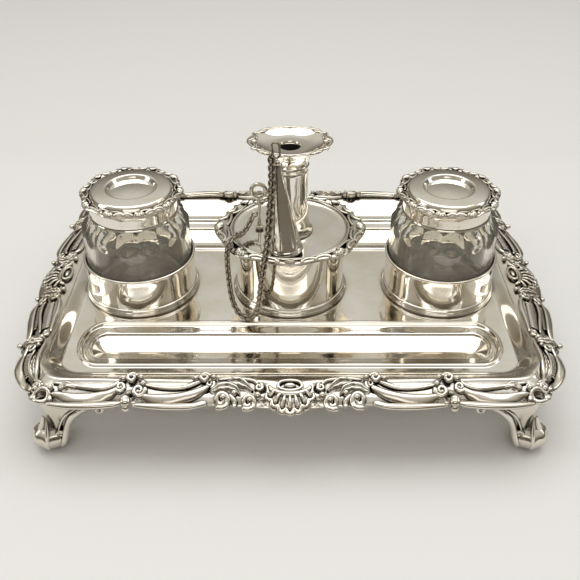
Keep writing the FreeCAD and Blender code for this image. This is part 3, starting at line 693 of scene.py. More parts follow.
# Across the border, from its inner edge to its outer one: share of the width, and height over its base.
BORDER_PROFILE = [
    (0.00, -1.05), (0.06, -0.5), (0.14, 0.15), (0.22, 0.72), (0.28, 0.95), (0.33, 0.85), (0.40, 0.10),
    (0.50, -0.7), (0.66, -1.5), (0.80, -2.6), (0.92, -3.9), (1.00, -5.3),
]
BORDER_LOW = 38.1    # the lowest that its underside may be
BORDER_THICK, BORDER_THIN = 1.6, 0.8    # its thickness, and the least of it under a pit
GROUND_INSET = 1.6   # how far inside the border's outline its ground stops
RELIEF_LEVEL = 44.4  # the level ground that the relief is drawn on
RELIEF_LIFT = 0.55   # how much higher than the ground the relief is set
RELIEF_FROM = 0.34   # relief nearer the tray than this share of the width is set as if it were here
REAR_RISE = 0.9      # how much more the rear border's relief rises, as a share
# Dark hollows between the scrolls of one quarter: place, depth and half width.
PITS = [
    (132.4, 106.2, 4.5, 3.0), (85.2, 106.6, 4.0, 2.8), (84.6, 111.6, 3.0, 2.0), (44.6, 103.2, 2.6, 2.0),
    (34.4, 103.0, 2.4, 2.0), (15.6, 103.0, 3.6, 2.4), (15.0, 111.0, 4.0, 2.6), (36.4, 109.6, 4.0, 2.8),
    (22.2, 111.0, 4.0, 2.6), (29.4, 111.4, 3.0, 2.0), (148.0, 66.8, 3.2, 2.4), (145.2, 61.5, 2.6, 2.2),
    (149.6, 60.8, 3.0, 2.2), (152.0, 23.4, 3.4, 2.6), (145.5, 21.8, 3.0, 2.4), (143.2, 97.0, 2.0, 2.0),
    (147.0, 84.0, 2.6, 3.0), (147.6, 78.0, 2.6, 3.0),
]


def border_edge():
    """The border's whole outer edge, smooth and closed."""
    quarter = [np.array(p, float) for p in EDGE_QUARTER]
    loop = quarter + [p * (1, -1) for p in reversed(quarter[:-1])]
    loop += [p * (-1, -1) for p in quarter[1:]] + [p * (-1, 1) for p in reversed(quarter[1:-1])]
    return catmull(loop, 10, closed=True)


def inward(points):
    """How far points outside the floor are from its rounded edge, and the direction away from it."""
    core = FLOOR_HALF - FLOOR_CORNER
    over = np.abs(points) - core
    clipped = np.maximum(over, 0)
    length = np.linalg.norm(clipped, axis=1, keepdims=True)
    away = clipped / np.maximum(length, 1e-9) * np.sign(points)
    return length[:, 0] - FLOOR_CORNER, away


def settle(points):
    """Relief drawn on a level ground, moved down onto the border's rounded ground."""
    edge = border_edge()
    whole, away = inward(edge)
    foot = (edge - away * whole[:, None]) / FLOOR_HALF
    turn = np.arctan2(foot[:, 1], foot[:, 0])
    order = np.argsort(turn)
    distance, away = inward(points[:, :2])
    foot = (points[:, :2] - away * distance[:, None]) / FLOOR_HALF
    reach = np.interp(np.arctan2(foot[:, 1], foot[:, 0]), turn[order], whole[order], period=TAU)
    share = np.clip((distance - BORDER_IN) / (reach - GROUND_INSET - BORDER_IN), RELIEF_FROM, 1)
    ground = np.interp(share, [s for s, _ in BORDER_PROFILE], [rise for _, rise in BORDER_PROFILE])
    moved = points.copy()
    moved[:, 2] += ground + RELIEF_LIFT
    return moved


def border_band(part, edge):
    """The cast ground of one side: a hollow band between the tray's rim and the border's edge."""
    # the left side's edge is sorted as its mirror image, so that it doesn't start and end in its middle
    mirror = -1 if edge[:, 0].mean() < -1 else 1
    edge = edge[np.argsort(np.unwrap(np.arctan2(edge[:, 1], mirror * edge[:, 0])))]
    distance, away = inward(edge)
    edge, distance = edge - away * GROUND_INSET, distance - GROUND_INSET
    share = np.array([s for s, _ in BORDER_PROFILE])
    rise = np.array([r for _, r in BORDER_PROFILE])
    fine = np.linspace(0, 1, 44)
    height = np.interp(fine, share, rise)
    step = (distance - BORDER_IN)[:, None] * (1 - fine)[None, :]
    plan = edge[:, None] - away[:, None] * step[..., None]
    top = np.zeros((len(edge), len(fine), 3))
    top[..., :2] = plan
    top[..., 2] = BORDER_TOP + height[None, :]
    for x, y, depth, wide in PITS:
        off = (np.abs(plan[..., 0]) - x) ** 2 + (np.abs(plan[..., 1]) - y) ** 2
        top[..., 2] -= depth * np.exp(-off / (0.55 * wide ** 2))
    top[..., 2] = np.maximum(top[..., 2], BORDER_LOW + BORDER_THIN)
    low = top.copy()
    low[..., 2] = np.maximum(top[..., 2] - BORDER_THICK, BORDER_LOW)
    slab(part, top, low)


def curl(part, x, y, radius, start, turns, thick, height=RELIEF_LEVEL, eye=1.3):
    """A spiral in plan that winds inwards from radius to a round eye. start is in degrees, turns signed."""
    t = np.linspace(0, 1, 36)
    angle = math.radians(start) + TAU * turns * t
    reach = radius * (1 - 0.72 * t ** 0.9)
    line = np.column_stack([x + reach * np.cos(angle), y + reach * np.sin(angle), height + 0.5 * t])
    sweep(part, line, thick * (1 - 0.45 * t), flat=0.95)
    ball(part, (*line[-1][:2], height + 0.5), thick * 0.62 * eye, rows=6, around=10)


def shell(part, root, aim, reach, half_width, flutes, height=44.6):
    """A scallop shell: a ringed boss, a collar round it, raised flutes, and a scalloped lip."""
    aim = np.asarray(aim, float)
    side = np.array([-aim[1], aim[0]])
    root = np.asarray(root, float)

    def at(along, across, level):
        return np.array([*(root + aim * along + side * across), level])

    def fanned(a, out, wide, level):
        """A point at the share a of the spread, out along the aim and wide across it at the edge."""
        return at(out * math.cos(spread * a), wide / math.sin(spread) * math.sin(spread * a), level)

    fan(part, root, aim, reach * 0.93, 60, flutes, height - 2.2, rise=1.6, ridge=0.2, squash=0.86)
    turn = np.linspace(0, TAU, 32)[:-1]
    torus(part, [at(3.2 + 3.0 * math.cos(a), 6.4 * math.sin(a), height + 0.4) for a in turn], 0.95)
    ball(part, at(3.2, 0, height + 0.2), tuple(np.abs(aim) * 1.5 + np.abs(side) * 3.3) + (1.2,))
    arc = np.linspace(-1, 1, 25)
    collar = [at(1.2 + 6.9 * math.cos(1.35 * a), 11.4 * math.sin(1.35 * a), height - 0.1) for a in arc]
    sweep(part, collar, bump_radii(25, 0.8, 1.7, 0.8, 0.7), flat=0.9)
    spread = math.radians(64)
    lip = []
    for a in np.linspace(-1, 1, flutes * 8 + 1):
        lobe = 0.90 + 0.10 * abs(math.sin(math.pi * flutes * (a + 1) / 2))
        out = reach * lobe * (1 - 0.12 * a * a)
        lip.append(fanned(a, out, half_width * lobe, height - 0.9))
    sweep(part, lip, bump_radii(len(lip), 0.8, 1.35, 0.8, 0.5), flat=1.0)
    for k in range(flutes):
        a = -1 + (2 * k + 1) / flutes
        far = fanned(a, reach * 0.88 * (1 - 0.12 * a * a), half_width * 0.86, height - 0.5)
        near = fanned(a, reach * 0.50, half_width * 0.52, height + 0.2)
        line = catmull([near, (near + far) / 2 + (0, 0, 0.7), far], 5)
        sweep(part, line, np.linspace(0.75, 1.3, len(line)), flat=1.0)


def long_side_half(part):
    """The scrolls of half a long side, drawn in the quarter with positive x and y on a level ground."""
    # corner knot with its pierced ring
    turn = np.linspace(0, TAU, 28)[:-1]
    ring = np.column_stack([132.4 + 4.1 * np.cos(turn), 106.2 + 3.3 * np.sin(turn), np.full(27, 44.6)])
    torus(part, ring, 1.35)
    for x, y, size in ((128.0, 102.9, 1.8), (136.4, 102.9, 2.0), (127.4, 108.2, 1.5), (137.4, 107.2, 1.5),
                       (132.6, 101.2, 1.3)):
        ball(part, (x, y, 45.0), size)
    # first group of three reeds, which meet in a curl beside the hanging bud
    strap(part, [(127, 105.4), (117, 107.6), (107, 108.0), (97, 106.6), (92.0, 103.2)], 44.2, 2.9, 0.3)
    strap(part, [(129, 110.8), (118, 112.2), (105, 112.2), (94, 111.2), (89.5, 110.0)], 44.4, 2.3, 0.5)
    strap(part, [(127, 99.6), (114, 101.8), (101, 103.2), (94, 101.4), (91.5, 99.4)], 44.6, 1.25, 0.5)
    curl(part, 90.6, 102.4, 2.9, 20, 1.3, 1.25)
    ball(part, (87.4, 109.6, 44.6), (3.1, 2.6, 2.4))
    ball(part, (87.2, 111.6, 41.8), (2.3, 1.7, 2.3))
    leaf(part, [(124, 103.0), (119, 101.2), (113.5, 102.6)], 4.6, (44.4, 44.4), 2, 1.5)
    # second group of reeds
    curl(part, 80.6, 104.4, 3.5, 200, -1.35, 1.4)
    ball(part, (78.6, 100.6, 44.6), 1.7)
    strap(part, [(77.5, 101.2), (69, 103.0), (58, 103.2), (49.5, 100.4), (46.5, 98.8)], 44.6, 1.25, 0.45)
    strap(part, [(79, 107.2), (71, 108.8), (60, 109.0), (50, 106.4), (43.5, 101.8)], 44.2, 2.9, 0.35)
    strap(part, [(83, 111.6), (68, 112.8), (54, 112.8), (44.5, 110.8)], 44.4, 2.2, 0.5)
    curl(part, 42.8, 100.8, 2.6, 110, 1.2, 1.1)
    # two curls and the leaves between them and the shell
    curl(part, 36.4, 109.6, 4.3, 60, 1.45, 1.7, 44.4, 1.7)
    curl(part, 22.2, 111.0, 4.0, 50, 1.45, 1.6, 44.4, 1.7)
    leaf(part, [(42.4, 105.6), (36, 103.0), (29.5, 104.2), (26.4, 107.6)], 5.6, (44.6, 44.6), 4, 2.2)
    leaf(part, [(33.4, 100.4), (26.5, 101.2), (19.4, 105.6)], 6.4, (44.8, 44.8), 4, 2.4)
    strap(part, [(32.4, 106.8), (29.6, 110.2), (29.4, 113.2)], 44.2, 1.5, 0.5)
    strap(part, [(38.5, 98.6), (30.5, 97.6), (21, 98.8), (16.8, 101.4)], 44.4, 1.15, 0.4)
    curl(part, 16.6, 103.0, 2.2, 250, -1.2, 1.0)
    ball(part, (29.6, 106.6, 45.0), 1.6)
    ball(part, (17.2, 108.0, 44.8), 1.9)
    # knots that stand up on the inner edge, where one group meets the next
    for x in (45.5, 84.5):
        curl(part, x, 98.6, 3.0, 200, 1.3, 1.3, 46.2)
        ball(part, (x - 4.8, 98.4, 46.0), 1.7)
        ball(part, (x + 5.0, 98.8, 45.9), (2.2, 1.4, 1.4))


def long_side_middle(part):
    shell(part, (0, 99.6), (0, 1), 18.0, 13.6, 7)


def short_side_half(part):
    """The scrolls of half a short side, drawn in the quarter with positive x and y on a level ground."""
    # the corner lobe: a broad outer roll, an inner roll, and the grooved ground between them
    strap(part, [(138.6, 103.2), (145.4, 95.6), (149.9, 86.6), (150.6, 77.0), (148.8, 70.6)], 45.0, 2.6, 0.45)
    curl(part, 146.6, 71.0, 3.2, 20, -1.2, 1.5)
    strap(part, [(133.6, 99.0), (138.8, 95.6), (143.4, 88.4), (145.0, 79.4), (143.8, 72.6)], 44.6, 1.4, 0.4)
    strap(part, [(131.0, 101.4), (136.6, 97.6), (139.2, 88.0), (139.6, 76.0), (138.8, 66.0)], 44.4, 1.5, 0.35)
    curl(part, 136.4, 101.2, 2.6, 140, 1.2, 1.2)
    hatch(part, (144.6, 93.4), (147.4, 75.0), (3.2, 1.2), 12, 44.6, 0.62)
    leaf(part, [(139.2, 94.0), (141.8, 86.0), (141.6, 76.0)], 3.6, (44.4, 44.4), 6, 1.5)
    # leaf joint with its small tip
    leaf(part, [(140.6, 67.0), (147.6, 66.0), (154.4, 65.2)], 6.8, (45.0, 45.2), 4, 2.0)
    ball(part, (155.0, 65.4, 45.4), (1.9, 1.8, 1.7))
    ball(part, (142.0, 63.4, 44.9), 1.9)
    ball(part, (142.4, 70.0, 44.9), 1.5)
    curl(part, 149.4, 61.0, 2.8, 100, 1.25, 1.25)
    curl(part, 141.2, 59.2, 2.3, 60, 1.2, 1.1)
    # cartouche with a hatched ground
    strap(part, [(152.0, 59.6), (152.8, 52.0), (154.6, 43.0), (155.8, 33.0), (155.0, 26.6)], 45.0, 2.3, 0.4)
    strap(part, [(145.4, 56.8), (147.4, 49.0), (150.0, 39.6), (150.8, 30.4), (149.4, 27.0)], 44.6, 1.35, 0.4)
    strap(part, [(138.6, 57.6), (139.0, 46.0), (139.2, 36.0), (140.6, 27.6), (143.6, 23.8)], 44.5, 1.5, 0.35)
    hatch(part, (142.6, 54.4), (145.6, 29.6), (4.6, 1.3), 15, 44.4, 0.62)
    hatch(part, (150.2, 52.4), (153.2, 30.4), (2.6, 0.8), 11, 44.4, 0.55)
    curl(part, 152.4, 24.4, 3.1, 100, -1.35, 1.5)
    curl(part, 144.2, 22.4, 3.2, 330, 1.35, 1.35)
    leaf(part, [(141.4, 20.4), (147.0, 17.8), (155.4, 19.0)], 5.0, (45.0, 45.0), 4, 1.9)
    ball(part, (157.0, 20.2, 45.0), (1.5, 1.8, 1.6))
    ball(part, (140.2, 17.0, 44.8), 1.6)


def short_side_middle(part):
    shell(part, (138.8, 0), (1, 0), 19.6, 14.6, 7)


def torus(part, line, wire, around=8):
    """A closed tube along a closed line."""
    line = np.asarray(line, float)
    along = unit(np.roll(line, -1, axis=0) - np.roll(line, 1, axis=0))
    centre = line.mean(axis=0)
    normal = unit(np.cross(line - centre, along).sum(axis=0))
    side = unit(np.cross(along, normal))
    angle = np.linspace(0, TAU, around, endpoint=False)
    wire = np.broadcast_to(np.asarray(wire, float), (len(line),))
    ring = (side[:, None] * np.cos(angle)[None, :, None]
            + normal[None, None] * np.sin(angle)[None, :, None]) * wire[:, None, None]
    part.add((line[:, None] + ring).reshape(-1, 3), ring_faces(len(line), around, closed=True))


def make_borders():
    """The four cast sections, each a ground with its scrollwork, mirrored about its middle."""
    corner_x, corner_y = 142.0, 104.0    # where a long side meets a short one
    edge = border_edge()
    over = np.abs(edge) - FLOOR_HALF
    on_long = over[:, 1] > (corner_y - FLOOR_HALF[1]) / (corner_x - FLOOR_HALF[0]) * over[:, 0]
    for node, axis, sign in (("border_front", 1, -1), ("border_rear", 1, 1),
                             ("border_left", 0, -1), ("border_right", 0, 1)):
        part, relief = Part(), Part()
        border_band(part, edge[(on_long if axis == 1 else ~on_long) & (sign * edge[:, axis] > 0)])
        if axis == 1:
            half, middle, mirror, place = long_side_half, long_side_middle, (-1, 1, 1), (1, sign, 1)
        else:
            half, middle, mirror, place = short_side_half, short_side_middle, (1, -1, 1), (sign, 1, 1)
        half(relief)
        relief.copy_mapped(lambda p: p * mirror)
        middle(relief)
        points = np.concatenate(relief.points)
        if node == "border_rear":
            # seen from inside, its relief stands up over the inner edge
            points[:, 2] += REAR_RISE * np.clip(points[:, 2] - RELIEF_LEVEL, 0, None)
        part.add(settle(points) * place, relief.faces)
        part.build(node + "_cast", "stand", CAST, "cast_silver", [node])


# ---------------------------------------------------------------- feet

# Down one foot: height, where the two arms end, and how far out the faces are from the corner's axes.
FOOT_ROWS = [
    (37.9, 103.5, 107.6), (36.0, 106.0, 107.7), (33.0, 110.5, 107.6), (29.5, 115.0, 107.2),
    (25.0, 118.6, 106.6), (20.0, 121.2, 106.0), (15.5, 122.8, 105.8), (12.0, 123.8, 106.2),
    (8.5, 124.8, 107.0), (5.4, 126.4, 106.8), (3.0, 128.6, 105.2), (1.5, 130.4, 103.2),
]
ARM_SHIFT = 28.6     # the side arm is this much nearer the middle than the front arm
ARM_SPANS = 11       # how many spans each arm's flat part is drawn in
FOOT_WALL = 2.2      # how thick the foot's plate is
TOE = (134.0, 101.2)


def toe_radius(angle, radius, height):
    """The toe's outside, with eight soft lobes."""
    return radius * (1 + 0.035 * np.cos(8 * angle))


def make_foot(node, side_x, side_y):
    """A cast corner foot: a curved plate with rolled edges that ends in a splayed scroll toe."""
    part = Part()
    rows = catmull(np.array(FOOT_ROWS), 4)
    outer, inner = [], []
    for height, arm, face in rows:
        across = face + ARM_SHIFT
        corner = min(7.0 + max(14 - height, 0) * 0.12, 0.9 * (across - arm))
        turn = np.linspace(TAU / 4, 0, 15)
        first = np.linspace((arm, face), (across - corner, face), ARM_SPANS + 1)[:-1]
        last = np.linspace((across, face - corner), (across, arm - ARM_SHIFT), ARM_SPANS + 1)[1:]
        round_it = np.column_stack([np.cos(turn), np.sin(turn)])
        line = np.vstack([first, round_it * corner + (across - corner, face - corner), last])
        away = np.vstack([np.tile([0, 1], (ARM_SPANS, 1)), round_it, np.tile([1, 0], (ARM_SPANS, 1))])
        t = np.linspace(-1, 1, len(line))
        dish = 0.9 * np.exp(-((np.abs(t) - 0.45) / 0.2) ** 2) * np.clip((height - 10) / 10, 0, 1)
        line = line - away * dish[:, None]
        outer.append(np.column_stack([line, np.full(len(line), height)]))
        inner.append(np.column_stack([line - away * FOOT_WALL, np.full(len(line), height)]))
    slab(part, np.array(outer), np.array(inner))

    half = Part()
    edge = [(arm + 0.4, face + 0.5, height) for height, arm, face in FOOT_ROWS[::-1]]
    line = catmull(edge, 6)
    sweep(half, line, bump_radii(len(line), 1.5, 2.1, 1.2, 0.8), up=(0, 1, 0))
    curled = [(113.5, 108.9, 32.2), (109.5, 109.1, 34.8), (105.6, 109.2, 36.4), (102.2, 109.2, 36.2),
              (100.2, 109.2, 34.4), (100.9, 109.2, 32.5), (102.9, 109.2, 32.3), (103.7, 109.2, 33.9),
              (102.5, 109.2, 34.6)]
    line = catmull(curled, 6)
    sweep(half, line, np.linspace(1.3, 0.7, len(line)), up=(0, 1, 0))
    ball(half, (102.2, 109.2, 34.0), (0.9, 1.2, 0.9), rows=5, around=8)
    inner_edge = [(arm + 4.6, face + 0.5, height) for height, arm, face in FOOT_ROWS[2:9]]
    line = catmull(inner_edge, 6)
    sweep(half, line, bump_radii(len(line), 0.4, 0.75, 0.6), up=(0, 1, 0))
    ball(half, (126.4, 106.6, 12.4), (1.5, 1.5, 1.5))
    turn = np.linspace(0, 1.5 * TAU, 30)
    reach = 2.7 * (1 - 0.5 * turn / turn[-1])
    line = np.column_stack([126.4 + reach * np.cos(turn), np.full(30, 107.0), 12.4 + reach * np.sin(turn)])
    sweep(half, line, np.linspace(1.0, 0.5, 30), up=(0, 1, 0), around=8)
    middle_leaf = [(133.0, 106.2, 24.0), (133.2, 107.6, 18.0), (133.4, 109.6, 12.0), (133.4, 110.8, 7.0),
                   (133.2, 109.4, 3.4)]
    sweep(half, catmull(middle_leaf, 6), bump_radii(25, 0.6, 2.2, 1.0), up=(1, 0, 0), flat=0.6)
    x, y, z = points = np.concatenate(half.points).T
    part.add(points.T, half.faces)
    part.add(np.column_stack([y + ARM_SHIFT, x - ARM_SHIFT, z]), half.faces)
    sole = [(0, 0.02), (3.2, 0.02), (5.8, 0.9), (8.4, 3.1), (10.2, 6.3), (10.6, 9.4), (9.2, 12.6),
            (6.0, 15.0), (0, 16.2)]
    lathe(part, rounded(sole, 1.2), TOE, 48, toe_radius)
    whole = part.moved(lambda points: points * (side_x, side_y, 1))
    whole.build(node + "_cast", "stand", CAST, "cast_silver", [node])


# ---------------------------------------------------------------- round silver pieces and bottles

HOLDER_X = 94.0


def turned(node, body, profile, centre=(0, 0), longest=3.0):
    """A turned piece that replaces a CAD node. longest is the longest span along its profile."""
    part = Part()
    lathe(part, dense(rounded(profile, closed=abs(profile[0][0]) > 1e-6), longest), centre, 128)
    part.build(node + "_turned", body, POLISHED, "polished_silver", [node])


def make_holders():
    """The two bottle galleries and the wafer pot, each with a moulded foot."""
    for node, side in (("left_gallery", -1), ("right_gallery", 1)):
        turned(node, "stand", [
            (32.9, 38.05, 0.1), (35.5, 38.05, 0.2), (35.6, 39.6, 0.5), (35.0, 40.2, 0.3), (35.0, 41.3, 0.4),
            (34.2, 42.3, 0.5), (33.7, 42.4, 0.2), (33.7, 61.7, 0.2), (34.5, 62.0, 0.4), (34.7, 62.9, 0.5),
            (34.0, 63.5, 0.4), (33.1, 63.4, 0.3), (32.9, 62.8, 0.2),
        ], centre=(side * HOLDER_X, 0))
    turned("wafer_pot", "stand", [
        (0, 38.05), (35.8, 38.05, 0.2), (35.9, 39.7, 0.6), (35.1, 40.5, 0.3), (35.1, 41.5, 0.5),
        (34.3, 42.4, 0.4), (33.5, 42.5, 0.2), (33.5, 77.9, 0.3), (32.7, 77.9, 0.3), (32.7, 39.4, 0.4),
        (0, 39.4),
    ])


SLICES = 16


def bottle_radius(angle, radius, height):
    """The glass outside: round, with a ring of concave slices cut across its shoulder."""
    if radius < 24.3 or height < 70 or height > 92.6:
        return np.full(len(angle), radius)
    step = TAU / SLICES
    off = (angle + step / 2) % step - step / 2
    across = radius * np.sin(off)
    allowed = 32.6 - (height - 79.6) * 0.55 + across ** 2 / 12
    return np.minimum(radius, allowed)


def make_bottles():
    for hand, side in (("left", -1), ("right", 1)):
        centre = (side * HOLDER_X, 0)
        part = Part()
        outside = rounded([
            (0, 38.35), (30.2, 38.35, 1.2), (32.4, 40.4, 1.6), (32.4, 86.0, 3.0), (31.4, 89.4, 2.0),
            (28.2, 91.6, 1.0), (26.4, 92.4, 0.3), (24.5, 92.45, 0.2), (24.4, 101.4, 0.6), (17.0, 101.4, 0.5),
            (17.0, 89.5, 3.0), (26.8, 83.8, 4.5), (27.0, 48.4, 4.0), (23.8, 45.2, 2.0), (0, 45.0),
        ], steps=5)
        lathe(part, dense(outside, 0.8), centre, 192, bottle_radius)
        part.build(hand + "_bottle_glass", hand + "_bottle", GLASS, "glass", [hand + "_bottle"],
                   smooth_angle=24)
        make_collar(hand, centre)
        make_lid(hand, centre)
        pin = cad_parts[hand + "_hinge_pin"]
        for item in pin.material_slots:
            item.material = POLISHED


HINGE_Y, HINGE_Z = 27.9, 101.4


def barrel(part, centre_x, low_x, high_x, outer=1.6, inner=0.86):
    """A hinge knuckle: a short tube along X."""
    tube = Part()
    lathe(tube, rounded([(inner, low_x), (outer, low_x), (outer, high_x), (inner, high_x)], 0.2, closed=True),
          around=28)
    x, y, z = np.concatenate(tube.points).T
    part.add(np.column_stack([centre_x + z, HINGE_Y + x, HINGE_Z + y]), tube.faces)


def plate(part, corners, low_x, high_x):
    """A flat plate whose outline is in the YZ plane, from low_x to high_x."""
    count = len(corners)
    points = [(x, y, z) for x in (low_x, high_x) for y, z in corners]
    faces = [tuple(range(count)), tuple(range(2 * count - 1, count - 1, -1))]
    faces += [(k, count + k, count + (k + 1) % count, (k + 1) % count) for k in range(count)]
    part.add(points, faces)


def make_collar(hand, centre):
    """The plain band round a bottle's neck, with a bead at each edge and two hinge knuckles."""
    part = Part()
    profile = [
        (24.75, 92.6, 0.1), (26.3, 92.6, 0.3), (26.6, 93.3, 0.3), (26.1, 94.0, 0.3), (25.9, 94.5, 0.3),
        (25.9, 101.2, 0.4), (26.3, 101.6, 0.3), (26.5, 102.3, 0.3), (26.0, 102.9, 0.3), (24.75, 102.9, 0.1),
    ]
    lathe(part, dense(rounded(profile, closed=True), 2.0), centre, 128)
    for low, high in ((-6.0, -2.7), (2.7, 6.0)):
        barrel(part, centre[0], low, high)
        plate(part, [(25.4, 99.9), (27.6, 99.9), (27.2, 100.4), (25.4, 101.2)],
              centre[0] + low, centre[0] + high)
    part.build(hand + "_collar_band", hand + "_bottle", POLISHED, "polished_silver", [hand + "_collar"],
               smooth_angle=40)


def make_lid(hand, centre):
    """The raised lid with its dished top, and the cast border round it."""
    part = Part()
    profile = [
        (0, 106.9), (5.0, 106.75, 3.0), (10.0, 106.35, 2.0), (12.6, 106.1, 0.8), (13.3, 106.5, 0.5),
        (14.8, 108.75, 0.5), (15.6, 109.0, 0.6), (18.0, 108.75, 1.0), (21.0, 108.4, 2.0), (23.4, 107.9, 0.6),
        (24.4, 106.6, 0.6), (25.6, 104.4, 0.5), (28.5, 104.2, 0.2), (28.5, 103.3, 0.2), (23.5, 103.3, 0.5),
        (20.0, 106.6, 2.0), (16.8, 107.2, 0.6), (15.4, 106.9, 0.5), (13.8, 105.0, 0.5), (0, 105.4),
    ]
    lathe(part, dense(rounded(profile), 1.5), centre, 144)
    barrel(part, centre[0], -2.4, 2.4)
    plate(part, [(27.1, 102.6), (28.9, 102.6), (29.3, 103.0), (29.3, 103.8), (26.9, 103.8)],
          centre[0] - 2.4, centre[0] + 2.4)
    part.build(hand + "_lid_dome", hand + "_lid", POLISHED, "polished_silver", [hand + "_lid"],
               smooth_angle=40)
    border = Part()
    wreath(border, centre, 23.8, lambda a: 30.2 + 0.8 * np.cos(10 * a), 104.6, 10, 1.25)
    border.build(hand + "_lid_wreath", hand + "_lid", CAST, "cast_silver", [hand + "_lid_border"])


def polar(centre, angle, radius):
    return np.array([centre[0] + radius * math.cos(angle), centre[1] + radius * math.sin(angle)])


def wreath(part, centre, inner, outer_at, low, units, size, crest=1.6):
    """A round cast border: a coved ground with a beaded edge, and a shell, curls and reeds in each unit."""
    def edge_at(turned_by):
        return float(outer_at(np.array([turned_by]))[0])

    around, across = units * 24, 22
    angle = np.linspace(0, TAU, around, endpoint=False)
    outer = outer_at(angle)
    share = np.linspace(0, 1, across)
    rise = np.interp(share, [0, 0.07, 0.16, 0.28, 0.45, 0.66, 0.84, 1.0],
                     [0.5, 0.95, 0.55, 0.15, 0.15, 0.75, 0.6, 0.05]) * crest * size
    radius = inner + (outer[:, None] - inner) * share[None, :]
    top = np.zeros((around, across, 3))
    top[..., 0] = centre[0] + radius * np.cos(angle)[:, None]
    top[..., 1] = centre[1] + radius * np.sin(angle)[:, None]
    top[..., 2] = low + 0.05 + rise[None, :]
    under = top.copy()
    under[..., 2] = low + 0.02
    rings = np.concatenate([top, under[:, ::-1]], axis=1).transpose(1, 0, 2)
    part.add(rings, ring_faces(2 * across, around, closed=True))
    step = TAU / units
    for k in range(units):
        middle = k * step
        edge = edge_at(middle)
        gap = edge - inner
        level = low + crest * size * 0.75
        root = polar(centre, middle, edge - min(gap * 0.62, 3.4 * size))
        aim = (math.cos(middle), math.sin(middle))
        fan(part, root, aim, min(gap * 0.60, 3.5 * size), 60, 5, level - 0.1,
            rise=0.9 * size, ridge=0.35 * size, drop=0.5 * size)
        for turn in (-1, 1):
            ends = [polar(centre, a, edge_at(a) - 0.9 * size)
                    for a in (middle + turn * step * 0.22, middle + turn * step * 0.50)]
            volute(part, *ends, -turn, level, 0.78 * size, 0.9, (3.0, 1.2))
            inner_line = [polar(centre, middle + turn * step * t, inner + gap * w)
                          for t, w in ((0.06, 0.30), (0.22, 0.22), (0.40, 0.30), (0.49, 0.46))]
            strap(part, inner_line, level - 0.1, 0.52 * size, 0.5)


# ---------------------------------------------------------------- chamber candlestick

STEM_X = -18.7       # the finger ring's stem


def make_taperstick():
    """The pan with its border, the column, and the ring handle."""
    turned("taper_pan", "taperstick", [
        (0, 79.5), (24.0, 79.5, 3.0), (34.2, 79.55, 1.0), (35.7, 81.1, 0.5), (36.4, 81.2, 0.3),
        (37.4, 80.2, 0.4), (37.2, 78.4, 0.4), (32.0, 78.3, 0.2), (32.0, 73.6, 0.3), (31.2, 73.6, 0.3),
        (31.1, 78.2, 0.2), (0, 78.3),
    ])
    border = Part()
    wreath(border, (0, 0), 35.0, lambda a: 42.9 + 2.4 * np.cos(2 * a) + 1.0 * np.cos(8 * a), 79.9, 8, 1.75,
           crest=1.2)
    border.build("taper_pan_wreath", "taperstick", CAST, "cast_silver", ["taper_pan_border"])

    turned("candle_column", "taperstick", [
        (0, 79.55), (13.7, 79.55, 0.3), (13.9, 80.4, 0.4), (13.2, 81.3, 0.8), (12.0, 83.6, 1.5),
        (11.2, 88.0, 3.0), (10.5, 98.0, 3.0), (10.5, 112.0, 2.0), (10.7, 120.9, 0.3), (8.7, 120.9, 0.2),
        (8.6, 102.2, 0.3), (0, 102.0),
    ], longest=1.2)

    ring = Part()
    torus(ring, upright_ring(STEM_X, 106, 4.2), 1.3, 10)
    torus(ring, upright_ring(-21.5, 89.5, 1.6), 0.65, 8)
    stem = [(STEM_X, 0, 79.6), (STEM_X, 0, 84), (-18.9, 0, 90), (-18.4, 0, 96), (STEM_X, 0, 101.8)]
    sweep(ring, catmull(stem, 8), bump_radii(33, 1.9, 0.95, 1.2), up=(0, 1, 0))
    ball(ring, (STEM_X, 0, 81.0), (2.6, 2.2, 1.4))
    ball(ring, (STEM_X, 0, 101.3), (1.5, 1.3, 1.2))
    ball(ring, (-18.8, 0, 91.4), (1.4, 1.4, 1.0))
    for side in (-1, 1):
        branch = ((0, 96.5), (2.6, 97.4), (3.4, 99.4), (2.2, 100.4))
        line = [(STEM_X + side * out, 0, up) for out, up in branch]
        sweep(ring, catmull(line, 6), np.linspace(0.75, 0.45, 19), up=(0, 1, 0), around=8)
    ring.build("ring_handle_cast", "taperstick", CAST, "cast_silver", ["ring_handle"])


DRIP_LONG, DRIP_WIDE = 23.2, 18.2
DRIP_REACH = 22.4    # the drip pan's greatest radius in the sections below, before it is drawn into an oblong


def drip_edge(angle):
    """The drip pan's outline: a long rounded oblong with a gentle wave."""
    power = 2.1
    reach = np.abs(np.cos(angle) / DRIP_LONG) ** power + np.abs(np.sin(angle) / DRIP_WIDE) ** power
    return reach ** (-1 / power) + 0.6 * np.cos(8 * angle)


